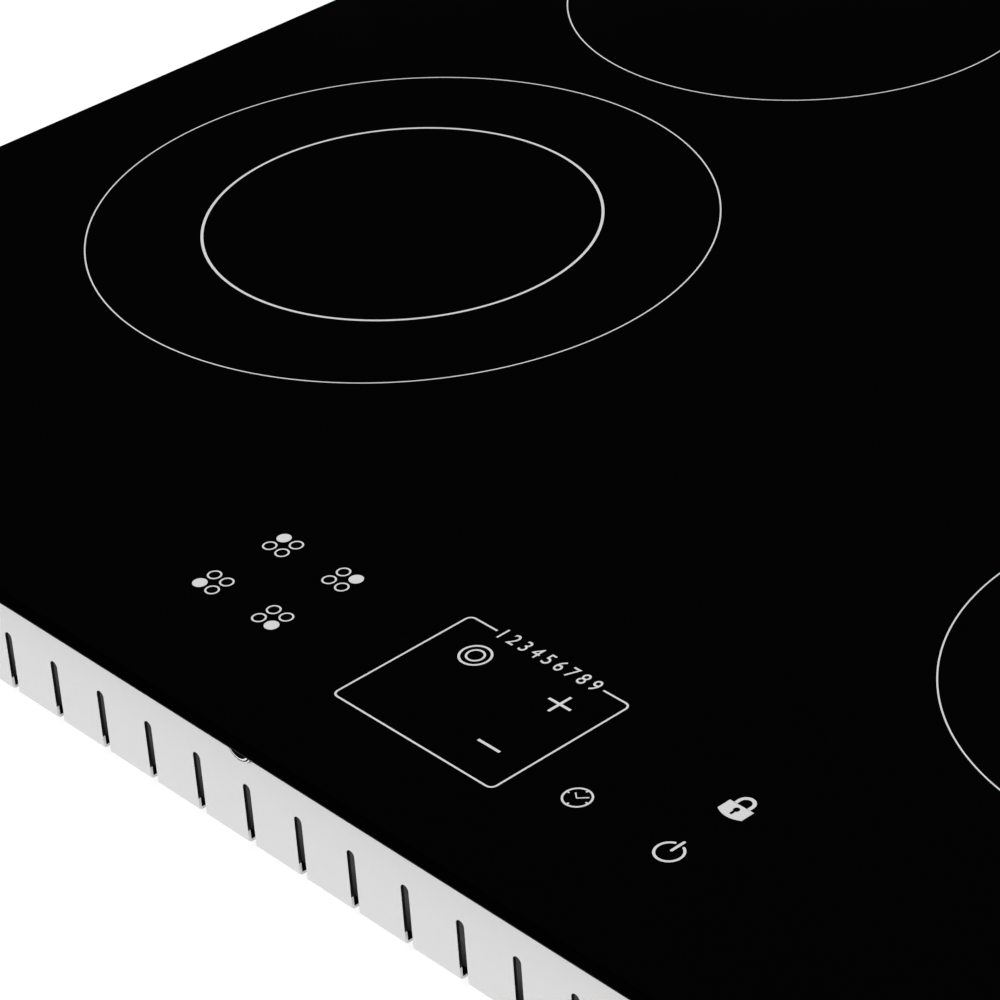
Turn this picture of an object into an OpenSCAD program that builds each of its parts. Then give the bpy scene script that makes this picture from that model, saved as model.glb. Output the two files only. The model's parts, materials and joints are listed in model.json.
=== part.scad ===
// Built-in electric induction hob for a worktop cut-out.
// X runs along the front edge, Y towards the wall, Z up.
// The origin is the middle of the underside of the base tray.

/* [Glass] */
// Width of the glass ceramic plate
glass_w = 584; // [575:1:620]
// Depth of the glass ceramic plate
glass_d = 510; // [505:1:540]
// Thickness of the glass ceramic plate
glass_t = 4; // [3:0.5:5]
// Corner radius of the glass
glass_corner_r = 6; // [2:0.5:10]

/* [Base tray] */
// Height from the underside of the tray to the top of the glass
total_h = 43; // [43:1:60]
// Glass overhang in front of the front wall
front_inset = 9.1; // [9:0.1:12]
// Glass overhang beside each side wall
side_inset = 14; // [12:0.5:16]
// Glass overhang behind the back wall
back_inset = 14.9; // [10:0.1:18]
// Thickness of the steel sheet
sheet_t = 0.8; // [0.6:0.1:1]
// Outside radius of the bend between floor and walls
bend_r = 0.5; // [0.4:0.1:2]
// Outside radius of the upright corners
tray_corner_r = 5; // [3:0.5:8]

/* [Air slots] */
// Width of one slot
slot_w = 2.9; // [2:0.05:4]
// Distance from slot to slot
slot_pitch = 20; // [12:0.5:30]
// Height of the rounded slot top above the underside
slot_h = 19; // [14:0.5:22]
// How far a slot runs under the floor, from the wall's outside
slot_wrap = 5; // [3:0.1:5.2]
// Free length of wall beside the first and last slot
slot_margin = 14; // [10:1:40]

/* [Cooking zones] */
// Radius of the two large zones
large_zone_r = 95; // [85:0.5:97]
// Radius of the two small zones
small_zone_r = 77.5; // [65:0.5:80]
// Radius of the inner circuit of the front left zone
inner_zone_r = 60; // [50:0.5:62]
// Distance from a zone to the side and back edges of the glass
zone_edge = 38.1; // [37:0.1:44]
// Distance from a zone to the front edge of the glass
zone_front = 108.5; // [107:0.5:112]

/* [Coil deck] */
// Width by which a winding stays inside its zone
coil_inset = 8; // [6:0.5:12]
// Thickness of a flat winding
winding_t = 3.6; // [2.5:0.1:4]
// Thickness of the coil former
former_t = 1.5; // [1:0.1:2]
// Thickness of the ferrite bars
ferrite_t = 4; // [3:0.1:4.5]
// Width of a ferrite bar
ferrite_w = 14; // [8:0.5:16]
// Thickness of the aluminium coil plate
coil_plate_t = 1.5; // [1:0.1:2]
// Thickness of the mica sheet under the glass
mica_t = 0.4; // [0.3:0.1:1]
// Gap between the two coil plates
deck_gap = 104; // [100:1:108]
// Free space between a coil plate and the side of the support frame
deck_side_gap = 2; // [1:0.5:4]
// How far the deck can be pressed down on its springs
deck_travel = 1.5; // [0.5:0.1:1.6]
// Radius of the sprung temperature sensor
sensor_r = 7.5; // [5:0.5:9]
// How far a sensor can be pressed down
sensor_travel = 1; // [0.5:0.1:1.5]

/* [Support frame and seal] */
// Thickness of the adhesive bead
adhesive_t = 0.5; // [0.3:0.1:0.8]
// Thickness of the support frame's sheet
frame_t = 1; // [0.8:0.1:1.2]
// Width of the support frame's flange
frame_flange_w = 12; // [10:0.5:13]
// Width of the foam seal
seal_w = 6.5; // [4:0.5:7]
// Thickness of the foam seal
seal_t = 2; // [1:0.5:3]
// Distance from the glass edge to the seal
seal_inset = 1.5; // [0.5:0.1:2]
// Radius of the head of a frame screw
screw_head_r = 4.2; // [3:0.1:4.5]
// Height of the head of a frame screw
screw_head_h = 1.8; // [1.2:0.1:2]
// Radius of the shank of a frame screw
screw_r = 1.6; // [1.2:0.1:2]
// Height of the frame screws above the underside
screw_z = 31.3; // [28:0.1:31.5]
// Distance of the side frame screws from the middle of the tray
side_screw_spread = 105; // [80:1:130]
// Distance of the outer frame screws at the back from the middle of the tray
back_screw_spread = 170; // [120:1:220]

/* [Power electronics] */
// Width of a power board
board_w = 180; // [165:1:184]
// Depth of a power board
board_d = 196; // [185:1:200]
// Thickness of the circuit boards
board_t = 1.6; // [1:0.1:2]
// Height of the pillars under the boards
pillar_h = 4.2; // [3:0.1:6]
// Width of a heatsink
heatsink_w = 42; // [30:1:48]
// Length of a heatsink
heatsink_l = 150; // [130:1:160]
// Number of fins on a heatsink
fin_count = 7; // [4:1:9]

/* [Fans] */
// Radius of the impeller
impeller_r = 34; // [28:0.5:36]
// Height of the impeller
impeller_h = 13; // [10:0.5:14]
// Number of blades
blade_count = 24; // [12:1:32]
// Height of the fan housing
fan_h = 19; // [18:0.5:22]
// Radius of the fan shaft
fan_shaft_r = 1.5; // [1:0.1:2.5]

/* [Touch control] */
// Width of the touch board
touch_w = 216; // [205:1:230]
// Depth of the touch board
touch_d = 60; // [54:1:66]
// Middle of the touch board, to the right of the middle of the hob
touch_x = 37; // [30:1:40]
// Distance from the front edge of the glass to the middle of the keys
key_line = 52.2; // [48:0.1:58]
// Distance between the two rows of keys
key_row_pitch = 23.6; // [20:0.1:26]
// Distance between the two columns of zone keys
zone_key_pitch = 24.1; // [20:0.1:28]
// Left column of zone keys, to the left of the middle of the hob
zone_key_x = 47.8; // [44:0.1:52]
// Dual zone key, to the right of the middle of the hob
main_key_x = 27.4; // [24:0.1:30]
// Distance between the main keys
key_pitch = 31.03; // [28:0.01:32]
// How far the control can be pressed down on its springs
touch_travel = 1.2; // [0.5:0.1:2]

/* [Worktop clamps] */
// Distance from the axis of a clamp to its tip
clamp_reach = 21; // [16:0.5:22]
// Width of a clamp arm
clamp_w = 12; // [9:0.5:13]
// Thickness of a clamp arm
clamp_t = 2.5; // [2:0.1:3.5]
// Height of the clamp arm above the underside
clamp_z = 6; // [5:0.5:9]
// Radius of the clamp screw
clamp_screw_r = 2; // [1.5:0.1:2.5]
// Distance of the front clamps from the front wall
clamp_front = 66; // [60:1:80]
// Distance of the back clamps from the back wall
clamp_back = 90; // [82:1:100]

/* [Mains inlet] */
// Radius of the bore for the mains cable
inlet_r = 7; // [5:0.5:7.5]
// Distance of the inlet to the right of the middle
inlet_x = 72; // [66:1:80]
// Height of the inlet above the underside
inlet_z = 12.5; // [12:0.5:15]

/* [Hidden] */
$fn = 48;

// Clearances
slide_gap = 0.5;  // round a sprung piece that slides
fit_gap = 0.3;    // between sheet parts that stand side by side
bore_gap = 0.08;  // round a screw or shaft
cut = 1;          // how far a cutter runs past a face

// Box of the tray
box_w = glass_w - 2 * side_inset;
front_y = front_inset - glass_d / 2;
back_y = glass_d / 2 - back_inset;
box_d = back_y - front_y;
box_y = (front_y + back_y) / 2;
glass_z = total_h - glass_t;
flange_z = glass_z - adhesive_t - frame_t;

// Layers of the coil deck, downwards from the glass
mica_z = glass_z - mica_t;
winding_z = mica_z - winding_t;
former_z = winding_z - former_t;
ferrite_z = former_z - ferrite_t;
deck_z = ferrite_z - coil_plate_t;
deck_clear = deck_z - deck_travel - cut;

// Boards
board_z = sheet_t + pillar_h;
board_top = board_z + board_t;
pillar_r = 3;

// Centres of the zones: [x, y, radius]
front_left = zone(-1, -1, large_zone_r);
back_left = zone(-1, 1, small_zone_r);
front_right = zone(1, -1, small_zone_r);
back_right = zone(1, 1, large_zone_r);
hub_r = sensor_r + slide_gap + 3.5;
winding_hole_r = hub_r + 6;

// Coil plates
frame_side = box_w / 2 - frame_flange_w;
deck_x0 = deck_gap / 2;
deck_x1 = frame_side - deck_side_gap;
deck_y0 = front_left[1] - (large_zone_r - coil_inset) - 10;
deck_y1 = back_y - frame_flange_w - deck_side_gap;
deck_w = deck_x1 - deck_x0;
deck_d = deck_y1 - deck_y0;
deck_x = (deck_x0 + deck_x1) / 2;
deck_y = (deck_y0 + deck_y1) / 2;
spring_r = 4.5;
spring_wire = 1.2;
spring_x = [deck_x0 + spring_r + 1.5, deck_x1 - spring_r - 1.5];
spring_y = [deck_y0 + spring_r + 3, deck_y1 - spring_r - 3];

// Power boards stand between the inner and outer deck springs
board_x = (spring_x[0] + spring_x[1]) / 2;
board_y0 = deck_y0 + 10;
board_y = board_y0 + board_d / 2;
heatsink_h = deck_clear - board_top;
heatsink_x = 60;

// Parts on the boards
part_edge = 20;
part_pitch = 40;
film_cap_w = 22;
film_cap_l = 30;
can_cap_r = 9;
choke_r = 17;
choke_h = 14;
relay_w = 20;
relay_d = 16;
relay_h = 14;
socket_w = 24;
socket_d = 8;
socket_h = 9;
tall_part_h = 16;

// Fans stand behind the power boards
fan_rim = 13;
fan_w = 2 * (impeller_r + fan_rim);
fan_y = board_y + board_d / 2 + fan_w / 2 + 4;
fan_x = board_x;
fan_wall = 1.6;
impeller_z = sheet_t + fan_wall + 1.2;

// Filter board between the power boards
filter_w = 84;
filter_d = 150;
filter_gap = 45;
filter_y = back_y - filter_gap - filter_d / 2;
terminal_w = 62;
terminal_d = 24;
terminal_h = 16;
terminal_y = back_y - 24;

// Touch control
control_z = deck_z;
key_y = key_line - glass_d / 2;
touch_y = key_y + 3.5;
carrier_t = 1.5;
touch_z = control_z + carrier_t + 2;
key_r = 3.2;
control_spring_x = touch_w / 2 - 12;

// Frame screws: offsets along the side walls
side_screw_y = [box_y - side_screw_spread, box_y + side_screw_spread];
back_screw_x = [-back_screw_spread, 0, back_screw_spread];

// Clamps
pocket_d = 17;
bracket_t = 1.2;
bracket_z = 3;
bracket_h = 21;
bracket_y0 = -12;
bracket_y1 = clamp_reach + 7;
clamp_axis_x = box_w / 2 - 9;
clamp_y = [front_y + clamp_front, back_y - clamp_back];
clamp_boss_r = 4;
clamp_tip = 3.5;
clamp_head_r = 3.5;

function zone(side, end, r) = [
    side * (glass_w / 2 - zone_edge - r),
    end < 0 ? zone_front + r - glass_d / 2 : glass_d / 2 - zone_edge - r,
    r
];

// Places of the keys: zone keys, dual zone, plus and minus, clock, power and lock
key_row = [key_y - key_row_pitch / 2, key_y + key_row_pitch / 2];
function key_col(i) = main_key_x + i * key_pitch;
key_places = concat(
    [for (x = [0, 1], y = key_row) [x * zone_key_pitch - zone_key_x, y]],
    [[key_col(0), key_row[1]], [key_col(1), key_row[1]], [key_col(1), key_row[0]]],
    [[key_col(2), key_row[0]], [key_col(3), key_row[0]], [key_col(3), key_row[1]]]
);

// Flat rectangle with round corners, centred
module rounded_rect(w, d, r) {
    square([w - 2 * r, d], center = true);
    square([w, d - 2 * r], center = true);
    for (x = [-1, 1], y = [-1, 1])
        translate([x * (w / 2 - r), y * (d / 2 - r)]) circle(r);
}

module plate(w, d, h, r) {
    linear_extrude(h) rounded_rect(w, d, r);
}

// Box with round upright corners and a round lower edge
module pressed_box(w, d, h, r, edge) {
    translate([0, 0, edge]) plate(w, d, h - edge, r);
    plate(w - 2 * edge, d - 2 * edge, edge, r - edge);
    for (s = [-1, 1]) {
        translate([0, s * (d / 2 - edge), edge])
            rotate([0, 90, 0]) cylinder(h = w - 2 * r, r = edge, center = true);
        translate([s * (w / 2 - edge), 0, edge])
            rotate([90, 0, 0]) cylinder(h = d - 2 * r, r = edge, center = true);
        for (t = [-1, 1])
            translate([s * (w / 2 - r), t * (d / 2 - r), edge])
                rotate_extrude() translate([r - edge, 0]) circle(edge);
    }
}

module ring(h, r_out, r_in) {
    difference() {
        cylinder(h = h, r = r_out);
        translate([0, 0, -cut]) cylinder(h = h + 2 * cut, r = r_in);
    }
}

module block(x0, x1, y0, y1, z0, z1) {
    translate([x0, y0, z0]) cube([x1 - x0, y1 - y0, z1 - z0]);
}

// Slot with round ends that cuts down through z = 0, its length along X
module grille_slot(l, w, depth) {
    translate([0, 0, -cut]) linear_extrude(depth + 2 * cut) {
        square([l - w, w], center = true);
        for (s = [-1, 1]) translate([s * (l - w) / 2, 0]) circle(w / 2);
    }
}

module on_both_sides() {
    for (side = [0, 1]) mirror([side, 0, 0]) children();
}

// ---- Glass, adhesive, frame and seal

module glass_top() {
    color([0.02, 0.02, 0.022])
        translate([0, 0, glass_z]) plate(glass_w, glass_d, glass_t, glass_corner_r);
}

module glass_adhesive() {
    color([0.08, 0.08, 0.08])
    translate([0, box_y, glass_z - adhesive_t]) difference() {
        plate(box_w, box_d, adhesive_t, tray_corner_r);
        translate([0, 0, -cut])
            plate(box_w - 2 * frame_flange_w, box_d - 2 * frame_flange_w, adhesive_t + 2 * cut, 2);
    }
}

module support_frame() {
    leg = sheet_t + fit_gap;
    leg_z = bracket_z + bracket_h + 0.6;
    color([0.55, 0.56, 0.57])
    translate([0, box_y, 0]) difference() {
        union() {
            translate([0, 0, flange_z]) plate(box_w, box_d, frame_t, tray_corner_r);
            translate([0, 0, leg_z])
                plate(box_w - 2 * leg, box_d - 2 * leg, flange_z - leg_z, tray_corner_r - leg);
        }
        translate([0, 0, leg_z - cut])
            plate(box_w - 2 * leg - 2 * frame_t, box_d - 2 * leg - 2 * frame_t,
                  flange_z - leg_z + cut, tray_corner_r - leg - frame_t);
        translate([0, 0, leg_z])
            plate(box_w - 2 * frame_flange_w, box_d - 2 * frame_flange_w, total_h, 2);
        translate([0, -box_y, 0]) frame_screw_places()
            cylinder(h = 12, r = screw_r + bore_gap, center = true);
    }
}

module worktop_seal() {
    color([0.12, 0.12, 0.12])
    translate([0, 0, glass_z - seal_t]) difference() {
        plate(glass_w - 2 * seal_inset, glass_d - 2 * seal_inset, seal_t, glass_corner_r);
        translate([0, 0, -cut])
            plate(glass_w - 2 * (seal_inset + seal_w), glass_d - 2 * (seal_inset + seal_w),
                  seal_t + 2 * cut, 2);
    }
}

// Puts its child at each frame screw, with Z pointing out of the wall
module frame_screw_places() {
    translate([0, front_y, screw_z]) rotate([90, 0, 0]) children();
    for (x = back_screw_x) translate([x, back_y, screw_z]) rotate([-90, 0, 0]) children();
    for (y = side_screw_y) {
        translate([box_w / 2, y, screw_z]) rotate([0, 90, 0]) children();
        translate([-box_w / 2, y, screw_z]) rotate([0, -90, 0]) children();
    }
}

module frame_screws() {
    recess = screw_head_h * 0.6;
    color([0.75, 0.75, 0.77])
    frame_screw_places() {
        difference() {
            union() {
                cylinder(h = screw_head_h / 2, r = screw_head_r);
                translate([0, 0, screw_head_h / 2])
                    cylinder(h = screw_head_h / 2, r = screw_head_r * 0.82);
            }
            for (a = [0, 90])
                rotate(a) translate([0, 0, screw_head_h])
                    cube([screw_head_r * 1.1, 0.9, 2 * recess], center = true);
        }
        translate([0, 0, -6]) cylinder(h = 6, r = screw_r);
    }
}

// ---- Base tray

slot_count = floor((box_w / 2 - tray_corner_r - slot_margin) / slot_pitch);

// Slots along a wall whose outside is at y = 0, with the tray behind it
module wall_slots(xs) {
    for (x = xs) translate([x, 0, 0]) {
        block(-slot_w / 2, slot_w / 2, -cut, slot_wrap, -cut, sheet_t + cut);
        block(-slot_w / 2, slot_w / 2, -cut, bend_r + sheet_t, -cut, slot_h - slot_w / 2);
        translate([0, bend_r + sheet_t, slot_h - slot_w / 2])
            rotate([90, 0, 0]) cylinder(h = bend_r + sheet_t + cut, r = slot_w / 2);
    }
}

module inlet_grille() {
    bars = 4;
    for (i = [-bars : bars])
        translate([0, i * 7, 0])
            grille_slot(2 * sqrt(pow(impeller_r - 2, 2) - pow(i * 7, 2)), 3.2, sheet_t);
}

module base_tray() {
    back_slots = [for (i = [-slot_count : slot_count])
        if (abs(i * slot_pitch) > inlet_x + 3 * inlet_r) i * slot_pitch];
    color([0.85, 0.85, 0.85])
    difference() {
        translate([0, box_y, 0]) pressed_box(box_w, box_d, flange_z, tray_corner_r, bend_r);
        translate([0, box_y, sheet_t])
            plate(box_w - 2 * sheet_t, box_d - 2 * sheet_t, total_h, tray_corner_r - sheet_t);
        translate([0, front_y, 0])
            wall_slots([for (i = [-slot_count : slot_count]) i * slot_pitch]);
        translate([0, back_y, 0]) rotate(180) wall_slots(back_slots);
        on_both_sides() {
            translate([fan_x, fan_y, 0]) inlet_grille();
            for (y = clamp_y) {
                block(box_w / 2 - 4, box_w / 2 + cut, y + bracket_y0 + 1, y + bracket_y1 - 1,
                      bracket_z + bracket_t, bracket_z + bracket_h - bracket_t);
                translate([clamp_axis_x, y, -cut]) cylinder(h = 3, r = clamp_head_r + 0.8);
            }
        }
        frame_screw_places() cylinder(h = 4, r = screw_r + bore_gap, center = true);
        translate([inlet_x, back_y, inlet_z])
            rotate([90, 0, 0]) cylinder(h = 6, r = inlet_r + 2.5, center = true);
    }
}

// Upright splash guard behind the front slots, with windows between the slots
module front_baffle() {
    baffle_t = 1.2;
    y0 = front_y + slot_wrap + 0.8;
    half = box_w / 2 - tray_corner_r - 4;
    color([0.06, 0.06, 0.06])
    difference() {
        union() {
            block(-half, half, y0, y0 + baffle_t, sheet_t, slot_h + 4);
            block(-half, half, y0 + baffle_t, y0 + 6, sheet_t, sheet_t + baffle_t);
        }
        for (i = [-slot_count : slot_count - 1])
            translate([(i + 0.5) * slot_pitch, y0, 6])
                block(-3.5, 3.5, -cut, baffle_t + cut, 0, slot_h - 8);
    }
}

// ---- Coil deck

module coil_plate(zones) {
    difference() {
        translate([deck_x, deck_y, deck_z]) plate(deck_w, deck_d, coil_plate_t, 4);
        for (z = zones)
            translate([abs(z[0]), z[1], deck_z - cut]) cylinder(h = coil_plate_t + 2 * cut, r = 4);
    }
}

module mica_sheet(zones) {
    difference() {
        translate([deck_x, deck_y, mica_z]) plate(deck_w - 6, deck_d - 6, mica_t, 3);
        for (z = zones)
            translate([abs(z[0]), z[1], mica_z - cut])
                cylinder(h = mica_t + 2 * cut, r = sensor_r + 1.5);
    }
}

// Compression springs, drawn as plain sleeves
module deck_springs() {
    for (x = spring_x, y = spring_y)
        translate([x, y, sheet_t]) ring(deck_z - sheet_t, spring_r, spring_r - spring_wire);
}

module zone_ferrites(z) {
    count = z[2] > 85 ? 10 : 8;
    outer = z[2] - coil_inset - 2;
    for (i = [0 : count - 1])
        translate([z[0], z[1], ferrite_z]) rotate(360 * (i + 0.5) / count)
            translate([hub_r + 14, -ferrite_w / 2, 0])
                cube([outer - hub_r - 14, ferrite_w, ferrite_t]);
}

// Round spider that holds the winding, with a hub that stands on the coil plate
module coil_former(z) {
    color([0.16, 0.15, 0.14])
    translate([z[0], z[1], 0]) difference() {
        union() {
            translate([0, 0, former_z]) cylinder(h = former_t, r = z[2] - coil_inset + 2);
            translate([0, 0, ferrite_z]) cylinder(h = winding_z + 2 - ferrite_z, r = hub_r);
        }
        translate([0, 0, ferrite_z + 1]) cylinder(h = total_h, r = sensor_r + slide_gap);
        translate([0, 0, ferrite_z - cut]) cylinder(h = 3 * cut, r = 4);
        for (a = [0 : 60 : 300]) rotate(a + 15)
            translate([z[2] * 0.62, 0, former_z - cut]) cylinder(h = former_t + 2 * cut, r = 5);
    }
}

module winding(z, r_out, r_in) {
    color([0.42, 0.2, 0.1])
        translate([z[0], z[1], winding_z]) ring(winding_t, r_out, r_in);
}

// Thermistor cap that a silicone sleeve presses against the glass
module sensor(z) {
    color([0.8, 0.78, 0.72])
    translate([z[0], z[1], 0]) {
        translate([0, 0, ferrite_z + 1 + sensor_travel])
            cylinder(h = glass_z - ferrite_z - 1 - sensor_travel, r = sensor_r);
    }
}

// ---- Power electronics, drawn for the right-hand side

module power_board() {
    translate([board_x, board_y, board_z]) difference() {
        translate([-board_w / 2, -board_d / 2, 0]) cube([board_w, board_d, board_t]);
        pillar_places() translate([0, 0, -cut]) cylinder(h = board_t + 2 * cut, r = 1.6);
    }
}

module pillar_places() {
    for (x = [-1, 1], y = [-1, 1])
        translate([x * (board_w / 2 - 6), y * (board_d / 2 - 6), 0]) children();
}

// Extruded heatsink: a base web with upright fins
module heatsink() {
    web = 4;
    fin_t = 1.8;
    translate([board_x + board_w / 2 - heatsink_x - heatsink_w / 2, board_y, board_top])
    rotate([90, 0, 0]) linear_extrude(heatsink_l, center = true) {
        translate([-heatsink_w / 2, 0]) square([heatsink_w, web]);
        for (i = [0 : fin_count - 1])
            translate([-heatsink_w / 2 + i * (heatsink_w - fin_t) / (fin_count - 1), 0])
                square([fin_t, heatsink_h]);
    }
}

// Flat transistor packages clamped to the outer face of the heatsink
module transistors() {
    x0 = board_x + board_w / 2 - heatsink_x;
    for (i = [-2 : 2])
        translate([x0, board_y + i * 26, board_top]) {
            block(0, 5, -8, 8, 4, 16);
            for (y = [-5, 0, 5]) block(2, 3, y - 0.6, y + 0.6, 0, 4);
        }
}

// Capacitors and choke along the inner edge, relays and sockets along the outer edge
module board_parts() {
    inner = board_x - board_w / 2;
    outer = board_x + board_w / 2;
    translate([inner, board_y, board_top]) {
        for (i = [0 : 2])
            translate([part_edge, (i - 1.75) * part_pitch, 0]) {
                block(-film_cap_w / 2, film_cap_w / 2, -film_cap_l / 2, film_cap_l / 2, 0, tall_part_h);
                translate([film_cap_w / 2 + 10 + can_cap_r, 0, 0])
                    cylinder(h = tall_part_h + 1, r = can_cap_r);
            }
        translate([part_edge + 8, 1.65 * part_pitch, 0]) ring(choke_h, choke_r, choke_r - 10);
    }
    translate([outer - part_edge - relay_w, board_y, board_top]) {
        for (i = [0 : 3])
            translate([0, (i - 3) * 0.55 * part_pitch, 0])
                block(0, relay_w, -relay_d / 2, relay_d / 2, 0, relay_h);
        for (i = [1, 2])
            translate([0, (i - 0.2) * 0.7 * part_pitch, 0])
                block(0, socket_w, -socket_d / 2, socket_d / 2, 0, socket_h);
    }
}

// Centrifugal fan, drawn at its own axis
module fan_housing() {
    color([0.1, 0.1, 0.1]) {
        difference() {
            translate([0, 0, sheet_t]) plate(fan_w, fan_w, fan_h, 10);
            translate([0, 0, sheet_t + fan_wall])
                cylinder(h = fan_h - 2 * fan_wall, r = impeller_r + 6);
            translate([-impeller_r - 6, -fan_w / 2 - cut, sheet_t + fan_wall])
                cube([impeller_r + 20, fan_w / 2, fan_h - 2 * fan_wall]);
            translate([0, 0, sheet_t - cut]) cylinder(h = fan_wall + 2 * cut, r = impeller_r - 6);
        }
        translate([0, 0, impeller_z]) cylinder(h = sheet_t + fan_h - impeller_z - 1, r = fan_shaft_r);
    }
}

module fan_impeller() {
    hub = 13;
    color([0.2, 0.2, 0.21])
    translate([0, 0, impeller_z]) difference() {
        union() {
            translate([0, 0, impeller_h - 1.2]) cylinder(h = 1.2, r = impeller_r);
            ring(1.2, impeller_r, impeller_r - 9);
            cylinder(h = impeller_h, r = hub);
            for (i = [0 : blade_count - 1]) rotate(360 * i / blade_count)
                translate([impeller_r - 4.6, 0, 0]) rotate(35)
                    translate([-3.8, -0.4, 0]) cube([7.6, 0.8, impeller_h]);
        }
        translate([0, 0, -cut]) cylinder(h = impeller_h + 2 * cut, r = fan_shaft_r + bore_gap);
    }
}

// ---- Mains side

module filter_board() {
    color([0.1, 0.3, 0.16])
    translate([0, filter_y, board_z]) difference() {
        translate([-filter_w / 2, -filter_d / 2, 0]) cube([filter_w, filter_d, board_t]);
        filter_pillar_places() translate([0, 0, -cut]) cylinder(h = board_t + 2 * cut, r = 1.6);
    }
}

module filter_pillar_places() {
    for (x = [-1, 1], y = [-1, 1])
        translate([x * (filter_w / 2 - 6), y * (filter_d / 2 - 6), 0]) children();
}

// Two chokes at the front, film capacitors in the middle, mains relays at the back
module filter_parts() {
    color([0.85, 0.7, 0.2])
    translate([0, filter_y, board_top]) {
        for (x = [-1, 1])
            translate([x * (choke_r + 1.5), -part_pitch, 0]) ring(choke_h + 1, choke_r - 1, choke_r - 10);
        for (y = [0, 1])
            translate([-film_cap_w, (y * 2 - 0.6) * film_cap_w * 0.6, 0])
                block(-film_cap_l / 2, film_cap_l / 2, -film_cap_w / 2, film_cap_w / 2, 0, tall_part_h);
        for (x = [1, 2])
            translate([x * 14, 0, 0]) block(-can_cap_r / 2, can_cap_r / 2, -relay_d, relay_d, 0, relay_h);
        for (x = [-1 : 1])
            translate([x * 1.4 * relay_d, 1.15 * part_pitch, 0])
                block(-relay_d / 2, relay_d / 2, -relay_w / 2, relay_w / 2, 0, relay_h);
    }
}

module pillar() {
    translate([0, 0, sheet_t]) cylinder(h = pillar_h, r = pillar_r);
    translate([0, 0, board_z]) cylinder(h = board_t, r = 1.5);
    translate([0, 0, board_top]) cylinder(h = 1.5, r = 2.8);
}

module board_pillars() {
    color([0.8, 0.8, 0.8]) {
        on_both_sides() translate([board_x, board_y, 0]) pillar_places() pillar();
        translate([0, filter_y, 0]) filter_pillar_places() pillar();
    }
}

terminal_ways = 5;
function terminal_way_x(i) = (i - (terminal_ways - 1) / 2) * terminal_w / terminal_ways;

module terminal_block() {
    color([0.9, 0.9, 0.88])
    translate([0, terminal_y, sheet_t]) difference() {
        translate([-terminal_w / 2, -terminal_d / 2, 0]) cube([terminal_w, terminal_d, terminal_h]);
        for (i = [0 : terminal_ways - 1]) translate([terminal_way_x(i), 0, 0]) {
            translate([0, 0, terminal_h - 8]) cylinder(h = 10, r = 3);
            translate([0, terminal_d / 2 + cut, 5]) rotate([90, 0, 0]) cylinder(h = 10, r = 2.4);
        }
    }
}

module terminal_screws() {
    color([0.75, 0.72, 0.5])
    for (i = [0 : terminal_ways - 1])
        translate([terminal_way_x(i), terminal_y, sheet_t + terminal_h - 8]) difference() {
            cylinder(h = 5, r = 3 - bore_gap);
            translate([0, 0, 5]) cube([4.6, 0.9, 2], center = true);
        }
}

// Bush that guides the mains cable through the back wall
module cable_inlet() {
    flange = 2.4;
    color([0.07, 0.07, 0.07])
    translate([inlet_x, back_y, inlet_z]) rotate([-90, 0, 0]) difference() {
        union() {
            translate([0, 0, -10]) cylinder(h = 10 + flange, r = inlet_r + 2.4);
            cylinder(h = flange, r = inlet_r + 4);
            translate([0, 0, -sheet_t - flange]) cylinder(h = flange, r = inlet_r + 4);
        }
        translate([0, 0, -12]) cylinder(h = 16, r = inlet_r);
    }
}

// ---- Touch control

module control_carrier() {
    rim = 1.5;
    w = touch_w + 2 * rim + 1;
    d = touch_d + 2 * rim + 1;
    color([0.1, 0.1, 0.1])
    translate([touch_x, touch_y, control_z]) {
        difference() {
            plate(w, d, 6, 3);
            translate([0, 0, carrier_t]) plate(w - 2 * rim, d - 2 * rim, 6, 2);
        }
        for (x = [-1, 1], y = [-1, 1])
            translate([x * (touch_w / 2 - 8), y * (touch_d / 2 - 8), 0])
                cylinder(h = touch_z - control_z, r = 3);
    }
}

module control_springs() {
    color([0.7, 0.7, 0.72])
    for (x = [-1, 1])
        translate([touch_x + x * control_spring_x, touch_y, sheet_t])
            ring(control_z - sheet_t, spring_r, spring_r - spring_wire);
}

module touch_board() {
    color([0.06, 0.22, 0.12])
    translate([touch_x, touch_y, touch_z]) plate(touch_w, touch_d, board_t, 2);
}

module key_springs() {
    color([0.72, 0.62, 0.35])
    for (p = key_places)
        translate([p[0], p[1], touch_z + board_t])
            ring(glass_z - touch_z - board_t, key_r, key_r - 1);
}

module display_module() {
    color([0.15, 0.05, 0.05])
    translate([key_col(0) + 4, key_row[0], touch_z + board_t])
        plate(26, 14, glass_z - touch_z - board_t - 0.5, 1);
}

// ---- Worktop clamps, drawn for the right-hand side

module clamp_bracket(y) {
    x0 = box_w / 2 - sheet_t - pocket_d;
    x1 = box_w / 2 - sheet_t;
    difference() {
        union() {
            block(x0, x1, y + bracket_y0, y + bracket_y1, bracket_z, bracket_z + bracket_h);
            block(x1 - bracket_t, x1, y + bracket_y0 - 8, y + bracket_y1 + 8,
                  bracket_z, bracket_z + bracket_h);
        }
        block(x0 + bracket_t, x1 + cut, y + bracket_y0 + bracket_t, y + bracket_y1 - bracket_t,
              bracket_z + bracket_t, bracket_z + bracket_h - bracket_t);
        translate([clamp_axis_x, y, 0]) cylinder(h = total_h, r = clamp_screw_r + bore_gap);
    }
}

module clamp_brackets() {
    color([0.62, 0.63, 0.64]) on_both_sides() for (y = clamp_y) clamp_bracket(y);
}

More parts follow.
